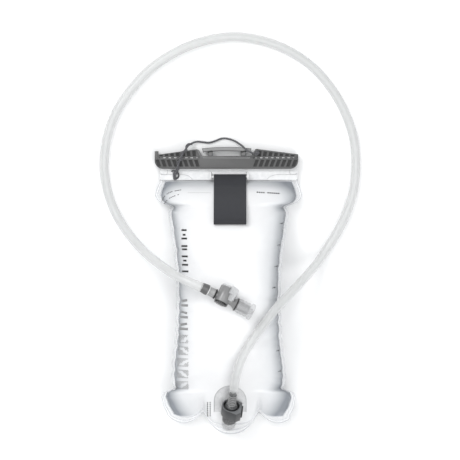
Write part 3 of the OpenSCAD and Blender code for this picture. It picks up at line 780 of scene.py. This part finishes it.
def seam_wave(y, side):
    """The side seam rises and dips a little between its puckers."""
    return 1.1 * noise.noise(Vector((side * 7.3, y * 0.085, 2.0)))


def wide_dent(x, y):
    """Slow dents of a bag that isn't quite tight."""
    return 0.9 * noise.noise(Vector((x * 0.022, y * 0.016, 5.0)))


def film_rows(steps):
    """Heights of the mesh's rows, closer together at the ends."""
    low = np.linspace(POCKET_BOTTOM, -91, 15 * steps, endpoint=False)
    middle = np.linspace(-91, 84, 40 * steps, endpoint=False)
    high = np.linspace(84, POCKET_TOP, 12 * steps + 1)
    return np.concatenate([low, middle, high])


def film_point(side, y0, u):
    """One point of a panel's bulge, the seam's height beside it, its painted shade and how dense the film is
    there.
    """
    sign = 1 if u > 0 else -1
    half = half_width(y0) - scallop(y0, sign) * abs(u) ** 6
    x = u * half
    y = y0 + (bottom_in(x) - POCKET_BOTTOM) * (1 - step((y0 - POCKET_BOTTOM) / 30))
    full = side_round(u) * end_round(y0)
    s = seam(y) + seam_wave(y, sign) * abs(u) ** 8
    crease = pucker(x, y, half) * min(1, full * 3)
    if side > 0:
        z = s + 0.01 + FILM_T + FRONT_RISE * full - crease + wide_dent(x, y) * full
    else:
        z = max(0.05, s - 0.01 - FILM_T - BACK_DROP * full + crease)
    # Painted shade: the film greys towards its sides, just under the header and near its foot.
    top = 0.5 * math.exp(-((POCKET_TOP - y0) / 9) ** 2)
    foot = 0.75 * math.exp(-((y0 - POCKET_BOTTOM) / 26) ** 2) * abs(u) ** 2
    side_shade = (0.92 if sign < 0 else 0.98) * abs(u) ** (7.5 if sign < 0 else 5)
    body = 1 - 0.35 * step((abs(u) - 0.93) / 0.07)
    return (x, y, z), s, min(1, side_shade + top + foot), body


def film_mesh(side, steps, half_cols):
    """One film panel: its bulge, then strips out to the cut edge. side is 1 in front, -1 behind."""
    ys = film_rows(steps)
    us = np.sin(np.linspace(-1, 1, 2 * half_cols + 1) * math.pi / 2)
    rows, cols = len(ys), len(us)
    points, seams, rim, body = map(list, zip(*[film_point(side, y, u) for y in ys for u in us]))
    weld = [0.0] * len(points)
    faces = grid_faces(rows - 1, cols - 1)
    border = [(0, c) for c in range(cols)] + [(r, cols - 1) for r in range(1, rows)]
    border += [(rows - 1, c) for c in range(cols - 2, -1, -1)] + [(r, 0) for r in range(rows - 2, 0, -1)]
    n = len(border)
    strips = 8
    last = [r * cols + c for r, c in border]
    for k in range(1, strips + 1):
        t = k / strips
        ring = list(range(len(points), len(points) + n))
        for r, c in border:
            x, y, _ = points[r * cols + c]
            s = seams[r * cols + c]
            if r == 0:
                ex, ey = us[c] * CORNER_HALF, bottom_out(us[c] * CORNER_HALF)
            elif r == rows - 1:
                ex, ey = us[c] * HEADER_HALF, FILM_TOP
            else:
                ex, ey = math.copysign(abs(x) + looked_up(WELD_SIDE, ys[r]), x), y
            px, py = x + (ex - x) * t, y + (ey - y) * t
            sz = seam(py) + (s - seam(y)) * (1 - t)
            ridge = 0.12 if k % 2 else 0.0
            points.append((px, py, sz + side * (0.01 + FILM_T * (0.75 + ridge))))
        rim += [0.24] * n
        body += [0.0] * n
        weld += [1.0 if k == strips else (0.55 if k in (1, 5) else 0.0)] * n
        faces += [(last[i], ring[i], ring[(i + 1) % n], last[(i + 1) % n]) for i in range(n)]
        last = ring
    if side < 0:
        faces = [f[::-1] for f in faces]
    mesh = mesh_from(np.array(points) * MM, faces)
    painted(mesh, "rim", rim)
    painted(mesh, "body", body)
    painted(mesh, "weld_line", weld)
    return mesh


def add_film(name, side, node):
    steps = 4
    mesh = film_mesh(side, steps, 60)
    film = place(name, mesh, FILM, "bladder", node)
    thickened(film, 0.45, -1)
    return film


front_film = add_film("front_panel", 1, "front_film")
add_film("back_panel", -1, "back_film")


# ---- Details that lie on the front film ----


def film_caster():
    """Finds the front film's face above a point, in millimetres."""
    tree = BVHTree.FromObject(front_film, bpy.context.evaluated_depsgraph_get())

    def cast(x, y, lift=0.1):
        spot, normal, _, _ = tree.ray_cast(Vector((x * MM, y * MM, 0.2)), Vector((0, 0, -1)))
        if spot is None:
            return None
        if normal.z < 0:
            normal = -normal
        return (spot + normal * lift * MM) / MM

    return cast


on_film = film_caster()


def arch_outline(x0, half, low, top, steps):
    """A doorway shape: two straight sides and a round top."""
    shoulder = top - half
    left = [(x0 - half, y) for y in np.linspace(low, shoulder, steps, endpoint=False)]
    arc = []
    for a in np.linspace(math.pi, 0, 2 * steps, endpoint=False):
        arc.append((x0 + half * math.cos(a), shoulder + half * math.sin(a)))
    right = [(x0 + half, y) for y in np.linspace(shoulder, low, steps + 1)]
    return left + arc + right


def add_port_patch():
    """Thin arch of film welded round the port, with a raised rim."""
    x0, half, low, top = 1.7, 17.2, -131, -101.8
    rows, cols = 30, 24
    points = []
    for r in range(rows + 1):
        y = low + (top - 0.2 - low) * r / rows
        reach = half if y < top - half else math.sqrt(max(0.01, half**2 - (y - top + half) ** 2))
        for c in range(cols + 1):
            points.append(on_film(x0 + reach * (2 * c / cols - 1), y, 0.3))
    mesh = mesh_from(np.array(points) * MM, grid_faces(rows, cols))
    patch = place("port_patch_film", mesh, SLEEVE, "bladder", "port_patch")
    thickened(patch, 0.25, -1)
    rim = np.array([on_film(x, y, 0.35) for x, y in arch_outline(x0, half, low, top, 14)]) * MM
    place("port_patch_rim", solid_tube(rim, 0.32 * MM, 8), WELD, "bladder")


def mark(x, y, width, height, turn=0.0, slant=0.0):
    """Corners and faces of one printed bar that follows the film, split so that it bends with it."""
    across, up = max(1, round(width / 1.5)), max(1, round(height / 1.5))
    points = []
    for r in range(up + 1):
        for c in range(across + 1):
            dx = width * (c / across - 0.5) + slant * (r / up - 0.5)
            dy = height * (r / up - 0.5)
            px = x + dx * math.cos(turn) - dy * math.sin(turn)
            py = y + dx * math.sin(turn) + dy * math.cos(turn)
            points.append(on_film(px, py, 0.12))
    return points, grid_faces(up, across)


def add_print(name, marks, material):
    points, faces = [], []
    for p, f in marks:
        if all(spot is not None for spot in p):
            faces += [tuple(i + len(points) for i in face) for face in f]
            points += p
    thickened(place(name, mesh_from(np.array(points) * MM, faces), material, "bladder"), 0.05, 1)


def fill_line():
    """Dashed line for the greatest fill."""
    return [mark(x, 104.6, 1.2, 0.32) for x in np.arange(-43, 22, 2.1) if not -18 < x < 21]


def scale_marks():
    """Ticks of a volume scale down the right side."""
    marks = []
    for y, x in ((71.8, 57.5), (48.8, 54.5), (25.9, 51.5), (3.2, 49.0), (-64.3, 53.5), (-86.7, 55.5)):
        marks.append(mark(x, y, 2.0, 1.1, 0.3))
        marks.append(mark(x - 2.0, y - 0.4, 1.4, 0.5, 0.3))
    return marks


def halftone_band():
    """A generic band of slanting bars up the left side, made of halftone dots low down."""
    marks = []
    for k in range(8):
        low = -106 + 12.6 * k
        left = -57.5 + 0.95 * k
        width = -43.2 - left
        lean = 1 if k % 2 else -1
        if k > 4:
            marks.append(mark(left + width / 2, low + 2, width, 2.5))
            marks.append(mark(left + width / 2, low + 7, width * 0.8, 2.4, 0.22 * lean))
            continue
        for j in range(7):
            for i in range(8 - k // 2):
                x = left + width * (i + 0.5 * (j % 2)) / (8 - k // 2)
                if abs((i - 4) * 0.9 + lean * (j - 3)) > 1.2 or j in (0, 6):
                    marks.append(mark(x + 0.8, low + 1.3 * j, 1.05, 0.95, 0.4))
    return marks


def short_bars():
    """Generic dark bars above the band, where a scale would be named."""
    bars = ((64.5, 5.5), (59.5, 3.0), (55.5, 6.0), (47.5, 6.5), (44, 5.5))
    bars += ((36.5, 6.5), (32.0, 3.5), (27.5, 6.5), (20.5, 7.0))
    return [mark(-46.8 + 0.03 * (40 - y), y, width, 1.9) for y, width in bars]


def small_rows():
    """Tiny dashes at the right end of the fill line and beside the port."""
    marks = [mark(x, 105.2 - 0.055 * (x - 31), 1.5, 1.3) for x in np.arange(31, 56, 2.3) if not 39 < x < 41]
    for y in np.arange(-136, -120.5, 2.1):
        marks.append(mark(-22.6, y, 1.1, 1.3))
        marks.append(mark(-19.8, y + 0.4, 0.9, 1.4))
    return marks


def notice_lines():
    """Two curved rows of tiny dashes in the upper left corner."""
    marks = []
    rows = (
        ((-72.1, 96.1), (-68, 102.1), (-61.6, 105.8), (-50, 108)),
        ((-70.2, 91.8), (-67, 96.1), (-61.6, 99.9), (-52.4, 103.1)),
    )
    for row in rows:
        line = evened(spline([(x, y, 0) for x, y in row], 12), 1.9)
        for k in range(len(line) - 1):
            if k % 5 != 4:
                here, ahead = line[k], line[k + 1]
                turn = math.atan2(ahead[1] - here[1], ahead[0] - here[0])
                marks.append(mark(here[0], here[1], 1.3, 0.8, turn))
    return marks


add_port_patch()
add_print("fill_line_print", fill_line(), HALFTONE)
add_print("scale_print", scale_marks(), INK)
add_print("halftone_print", halftone_band(), HALFTONE)
add_print("bar_print", short_bars(), INK)
add_print("notice_print", notice_lines(), INK)
add_print("small_print", small_rows(), INK)

# ---- Header, rails and bail ----


def add_header_welds():
    """Raised weld lines across the header, with a rounded corner at each end."""
    top = MOUTH_Z + 1.62
    left = [(-74, 124.6), (-62, 124.6), (-49, 124.5), (-44, 123.4), (-40.6, 121), (-39, 118.8)]
    right = [(41.5, 118.8), (43, 121), (47, 123.4), (52.5, 124.5), (62, 124.6), (74, 124.6)]
    across = [(x, 118.9) for x in (-74, -50, 0, 50, 74)]
    upper = [(-74, 128.6), (-30, 128.5), (0, 128.5), (30, 128.5), (74, 128.6)]
    beads = []
    for line, size in ((left, 0.22), (right, 0.22), (across, 0.1), (upper, 0.1)):
        beads.append(bead([(x, y, top) for x, y in line], size, steps=10))
    place("header_weld_lines", joined(beads), WELD, "bladder")


def add_corner_tabs():
    """Clear folded tabs at the header's two ends."""
    outline = [(66.3, 129.5), (66.3, 126.4), (67.6, 124.8), (71.5, 124.6), (74.2, 126.4)]
    tabs = [bead([(side * x, y, MOUTH_Z + 1.75) for x, y in outline], 0.22) for side in (-1, 1)]
    place("header_tab_edges", joined(tabs), WELD, "bladder")


def add_bail_rim():
    """Rounded outer rim of the clear bail, low along its cross bar and high at its two arms; its grey is
    painted shade along the bail's edge.
    """
    middle, half, top = 0.5, 21.1, 126.7
    arm = [(half, 119.4), (half, 122), (half, top - 1.8), (half - 0.4, top - 0.5), (half - 1.3, top)]
    bar = [(18.5, top), (17.2, top), (9, top)]
    path = [(-x, y) for x, y in arm + bar] + [(0, top)] + (arm + bar)[::-1]
    points = [(middle + x, y, 9.3 + 3.6 * step(abs(x) - 18.6)) for x, y in path]
    place("bail_rim", bead(points, 0.36, 10), BAIL_RIM, "bladder")


add_header_welds()
add_corner_tabs()
add_bail_rim()

for node in ("header_front", "header_back", "mouth_rail_front", "mouth_rail_back"):
    refined(node, CLEAR, "bladder", 0.15)
refined("strap_bail", CLEAR, "bladder", 0.5)

# ---- Closure and hanger ----


def in_pocket(centre, normal):
    """The floors of the grip pockets, on both faces of the closure, which take a darker tone as painted
    shade.
    """
    depth = abs(centre.z - MOUTH_Z)
    level = abs(depth - 5.0) < 0.15 or abs(depth - 2.3) < 0.15
    return level and abs(normal.z) > 0.9 and not -30 < centre.x < 25


def on_side(_, normal):
    """The hanger's side faces, between its front and its back, which are painted darker as shade."""
    return abs(normal.z) < 0.5


refined("slider_bar", SLIDER_GREY, "slider", 0.25, second=POCKET_SHADE, chosen=in_pocket)
# The hanger's sides and its rounded edges take the darker material as painted shade.
refined("hanger_arch", HANGER_GREY, "slider", 0.9, second=HANGER_SHADE, chosen=on_side, dark_edges=True)


def add_waist_trim():
    """Rounded step between the closure's body and its waist, which turns up along the wings, painted paler
    than the closure as the highlight along that step.
    """
    path = [(-33.8, 151.4, 9.5), (-32.4, 149.2, 9.6), (-30.9, 146.2, 9.7)]
    path += [(-29.4, 143.8, 10.9), (-26.6, 142.6, 12.1)]
    path += [(x, 142.5, 12.15) for x in (-21, -12, -2, 8, 17)]
    path += [(22, 142.6, 12.1), (24.8, 143.8, 10.9)]
    path += [(26.4, 146.2, 9.7), (28.0, 149.2, 9.6), (29.4, 151.2, 9.5)]
    place("waist_trim", bead(path, 0.95, 14), WAIST_HIGHLIGHT, "slider")


def add_slot_strips():
    """Pale strips under the closure's slots, painted light that stands for the brightness seen through them.
    """
    for name, x0, x1 in (("slot_strip_left", -72, -33), ("slot_strip_right", 29, 71)):
        path = [(x, 143.0, 8.6) for x in (x0, (x0 + x1) / 2, x1)]
        place(name, bead(path, 0.9, 10, 4), PALE_HIGHLIGHT, "slider")


def add_brackets():
    """Dark beads between the hanger's bar and its two posts."""
    dark_beads = []
    for x in (-20.0, 16.2):
        path = [(x - 2.7, 149.0, 9.7), (x, 149.6, 9.9), (x + 2.7, 149.9, 9.7)]
        dark_beads.append(bead(path, 0.75, 10, 6))
    place("hanger_dark_beads", joined(dark_beads), BUTTON_BLACK, "slider")


add_slot_strips()
add_brackets()
add_waist_trim()

# ---- Knots and loop ----


def cord_rings(centre, axis, radius, thick, pitch, lean):
    """A knot's wraps: three leaning rings of cord packed side by side along an axis."""
    count = 3
    axis = Vector(axis).normalized()
    a = axis.orthogonal().normalized()
    b = axis.cross(a)
    wraps = []
    for k in range(count):
        middle = Vector(centre) + axis * ((k - (count - 1) / 2) * pitch)
        size = radius * (1 - 0.12 * abs(k - (count - 1) / 2))
        line = []
        for t in np.linspace(0, 2 * math.pi, 29):
            spot = middle + (a * math.cos(t + k) + b * math.sin(t + k)) * size
            line.append(spot + axis * lean * math.sin(t + k))
        wraps.append(strand(np.array(line) * MM, thick / 2 * MM))
    return wraps


def add_header_knot():
    """Wrapped knot over the header, with a short tail and two strands down to the ring."""
    centre = (-56.6, 127.0, 11.0)
    wraps = cord_rings(centre, axis=(0.3, 1, 0.25), radius=1.25, thick=1.7, pitch=1.45, lean=0.5)
    path = [(-57.0, 127.6, 11.6), (-58.8, 128.6, 12.0), (-60.4, 128.6, 11.2), (-61.4, 128.1, 10.2)]
    tail = spline(path, 8) * MM
    ends = [strand(tail, np.linspace(0.85, 0.95, len(tail)) * MM)]
    fall = [(-57.2, 128.6, 11.6), (-58.3, 125.6, 10.6), (-58.4, 121.6, 9.4), (-57.9, 119.0, 8.4)]
    for shift in (-0.8, 0.8):
        drop = spline([(x + shift, y, z) for x, y, z in fall], 8) * MM
        ends.append(strand(drop, 0.95 * MM))
    place("leash_knot", joined(wraps + ends), CORD, "bladder", "leash_knot_header")


def add_slider_knot():
    """Stopper knot that fills the hole at the closure's right wing."""
    centre = (30.2, 147.5, 12.6)
    wraps = cord_rings(centre, axis=(1, 0.75, 0.1), radius=1.35, thick=1.9, pitch=1.5, lean=0.6)
    place("leash_stopper", joined(wraps), CORD, "slider", "leash_knot_slider")


def add_leash_ring():
    """Ring of cord that passes through the header's two slots."""
    lean = math.radians(50)
    centre = np.array((-56.5, 123.8, MOUTH_Z))
    line = []
    for t in np.linspace(0, 2 * math.pi, 49):
        swing = 3.2 * math.sin(t)
        line.append(centre + (swing * math.sin(lean), 3.2 * math.cos(t), swing * math.cos(lean)))
    ring = strand(np.array(line) * MM, 0.85 * MM, 12)
    place("leash_ring", ring, CORD, "bladder", "leash_loop")


def add_second_strand():
    """The leash's doubled end, twisted round its first strand above the header."""
    first = leash_line[int(0.66 * len(leash_line)) :]
    turns = 3.5
    line = []
    for i, (spot, (a, b)) in enumerate(zip(first, frames(first))):
        t = i / (len(first) - 1)
        turn = 2 * math.pi * turns * t + 0.6
        line.append(spot + 1.55 * MM * (a * math.cos(turn) + b * math.sin(turn)))
    line = np.array(line)
    radii = 0.95 * MM * np.minimum(1, 0.35 + 6 * np.linspace(0, 1, len(line)))
    second = place("leash_second_strand", strand(line, radii, 12), CORD)
    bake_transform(second)


add_header_knot()
add_slider_knot()
add_leash_ring()
add_second_strand()

# ---- Strap ----

STRAP_X = 1.5
STRAP_W = 34.8
STRAP_END = 71.4
ROD_Y = 121.9
ROD_Z = 11.6
PLY = 1.15


def strap_under(y):
    return max(front_z(0, y) + 1.2, ROD_Z + 0.6 + (ROD_Y - y) * 0.95)


def strap_line():
    """Centre line of the webbing's loop in Y and Z: up the film, round the rod and back down on top."""
    roll = 2.35
    low = [(ROD_Y - s, strap_under(ROD_Y - s) + PLY / 2) for s in np.linspace(48.2, 8, 27)]
    start = math.radians(-46)
    wrap = []
    for t in np.linspace(0, 1, 17):
        turn = start - math.pi * t
        wrap.append((ROD_Y - roll * math.cos(turn), ROD_Z + roll * math.sin(turn)))
    high = []
    for s in np.linspace(5, 48.2, 28):
        gap = 0.1 + 4.2 * step((s - 16) / 26)
        high.append((ROD_Y - s, strap_under(ROD_Y - s) + 1.5 * PLY + gap))
    one, two = np.array(high[-1]), np.array(low[0])
    middle, reach = (one + two) / 2, (one - two) / 2
    out = np.array((-reach[1], reach[0]))
    end = [tuple(middle + reach * math.cos(a) + out * math.sin(a)) for a in np.linspace(0, math.pi, 12)[1:-1]]
    return low + wrap + high + end


def add_strap():
    """Folded webbing: one closed loop of one ply, with slightly thicker woven edges."""
    loop = np.array(strap_line())
    ahead = np.roll(loop, -1, axis=0) - np.roll(loop, 1, axis=0)
    ahead /= np.linalg.norm(ahead, axis=1)[:, None]
    out = np.column_stack([-ahead[:, 1], ahead[:, 0]])
    columns = np.sin(np.linspace(-1, 1, 25) * math.pi / 2)
    points, edges = [], []
    for c in columns:
        x = STRAP_X + c * STRAP_W / 2
        rim = step((abs(c) - 0.965) / 0.035)
        thick = PLY / 2 * (1 + 0.12 * step((abs(c) - 0.86) / 0.08) * (1 - rim) - 0.45 * rim)
        for face in (1, -1):
            for spot, normal in zip(loop, out):
                y, z = spot + normal * thick * face
                points.append((x, y, z))
                # Painted shade: the edge value darkens the webbing along its sides, where it turns over at
                # its end and where it rolls over the rod.
                turned_over = step((STRAP_END + 8 - spot[0]) / 9) * 0.8
                rolled = step((spot[0] - ROD_Y + 1.5) / 3) * 0.6
                edges.append(max(0.7 * rim, turned_over, rolled))
    n, m = len(loop), len(columns)
    faces = []
    for c in range(m):
        for i in range(n):
            j = (i + 1) % n
            if c < m - 1:
                a, b = c * 2 * n, (c + 1) * 2 * n
                faces.append((a + i, a + j, b + j, b + i))
                faces.append((a + n + i, b + n + i, b + n + j, a + n + j))
            if c in (0, m - 1):
                a = c * 2 * n
                face = (a + i, a + n + i, a + n + j, a + j)
                faces.append(face if c == 0 else face[::-1])
    mesh = mesh_from(np.array(points) * MM, faces)
    painted(mesh, "edge", edges)
    place("strap_webbing", mesh, WEBBING, "strap", "pull_strap")


add_strap()

# ---- Port ----


def on_port_mouth(_, normal):
    """The housing's annular end face round the socket, painted lighter as highlight."""
    return normal.dot(Vector(PORT_AXIS)) > 0.8


refined("port_body", PORT_GREY, "bladder", 0.55, second=PORT_RIM_HIGHLIGHT, chosen=on_port_mouth)


def on_port(outline):
    """A body of revolution on the port's axis, whose distances start at the port's mouth."""
    return turned(outline, PORT_MOUTH, PORT_AXIS)


def add_stub():
    """Stub behind the port housing, with rings for the film to be clamped on."""
    outline = [(-12.52, 5.6), (-12.52, 7.6)]
    for k in range(4):
        far = -14.0 - 2.4 * k
        outline += [(far + 0.9, 7.6), (far + 0.6, 6.9), (far - 0.4, 6.9), (far - 0.7, 7.6)]
    outline += [(-22.6, 7.5), (-24.2, 6.2), (-25.0, 4.4), (-25.0, 0.01)]
    outline += [(-23.6, 0.01), (-23.6, 4.6), (-22.6, 5.6)]
    stub = place("port_stub_ringed", on_port(outline), STUB_GREY, "bladder", "port_stub")
    stub.data.set_sharp_from_angle(angle=math.radians(35))


def add_dome():
    """Clear film drawn over the stub and closed in a dome below it."""
    start, reach, wall = -12.8, 24.5, 0.45
    outer, inner = [], []
    for t in np.linspace(0, 1, 30):
        swell = 8.35 - 0.5 * step((t - 0.25) / 0.3)
        radius = swell * math.sqrt(max(0, 1 - max(0, (t - 0.55) / 0.45) ** 2.2))
        outer.append((start - reach * t, max(0.01, radius)))
        inner.append((start - (reach - wall) * t, max(0.01, radius - wall)))
    place("port_dome", on_port(outer + inner[::-1]), SLEEVE, "bladder", "port_sleeve")


def add_barb_crests():
    """Crests of the plug's barb, painted paler as highlight, which show through the hose."""
    low, high = 4.15, 4.5
    crests = []
    for k in range(6):
        far = 2.75 + 2.6 * k
        outline = [(far - 0.35, low), (far - 0.25, high), (far + 0.25, high), (far + 0.5, low)]
        crests.append(on_port(outline))
    place("barb_crests", joined(crests), RING_GREY, "plug")


add_stub()
add_dome()
refined("release_button", BUTTON_BLACK, "button", 0.6)
refined("hose_plug", PORT_GREY, "plug", 0.12)
add_barb_crests()
for node, material in (("port_poppet", HANGER_GREY), ("poppet_spring", STEEL), ("plug_oring", RUBBER)):
    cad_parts[node].data.materials.clear()
    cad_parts[node].data.materials.append(material)

# ---- Bite valve ----

# The valve's barb is painted pale as highlight.
refined("valve_barb", PALE_HIGHLIGHT, "bladder", 0.15)
refined("valve_collar", COLLAR_GREY, "bladder", 0.3)


def on_inlet(centre, _):
    """The body's inlet ring, beside the collar."""
    return (centre - VALVE_START).dot(VALVE_AXIS) < 15.1


def add_flange_ring():
    """Dark ring at the foot of the bite sheath."""
    outline = [(40.0, 6.9), (40.3, 7.35), (41.0, 7.35), (41.3, 6.9)]
    ring = turned(outline, VALVE_START * MM, VALVE_AXIS)
    place("valve_flange_ring", ring, BUTTON_BLACK, "valve")


# Start of the valve, in millimetres, and the direction of its axis
VALVE_START = Vector((-28.2, 4.3, 91.2))
VALVE_AXIS = Vector((0.88848, -0.44686, -0.10453))
refined("valve_body", VALVE_GREY, "valve", 0.4, second=RING_GREY, chosen=on_inlet)
add_flange_ring()
refined("valve_oring", RUBBER, "valve", 0)
refined("shutoff_cock", HANGER_GREY, "shutoff", 0.15)
refined("shutoff_lever", LEVER, "shutoff", 0.4)
refined("cock_cap", BUTTON_BLACK, "shutoff", 0.15)
refined("bite_sheath", SILICONE, "sheath", 0.3)

# ---- Floor and lights ----


def add_floor():
    reach = 3.0
    cells = 24
    ticks = np.linspace(-reach, reach, cells + 1)
    points = [(x, y, -0.0004) for y in ticks for x in ticks]
    place("floor", mesh_from(points, grid_faces(cells, cells)), floor_material())


def add_light(name, spot, size, watts, target=(0, 0.05, 0.03)):
    data = bpy.data.lights.new(name, "AREA")
    data.shape = "RECTANGLE"
    data.size, data.size_y = size
    data.energy = watts
    light = bpy.data.objects.new(name, data)
    light.location = spot
    light.rotation_euler = (Vector(target) - Vector(spot)).to_track_quat("-Z", "Y").to_euler()
    light.visible_camera = False
    bpy.context.scene.collection.objects.link(light)


def add_world():
    world = bpy.data.worlds.new("studio")
    world.use_nodes = True
    sky = world.node_tree.nodes["Background"]
    sky.inputs["Color"].default_value = (0.96, 0.98, 1.0, 1)
    sky.inputs["Strength"].default_value = 0.56
    bpy.context.scene.world = world


add_floor()
add_light("key", (-0.9, 1.1, 1.7), (0.9, 0.9), 20)
add_light("fill", (0.7, -1.2, 1.5), (1.4, 1.0), 15)
add_light("top", (0.1, 0.2, 2.3), (1.6, 1.6), 18)
add_world()
bpy.context.scene.view_settings.view_transform = "Standard"
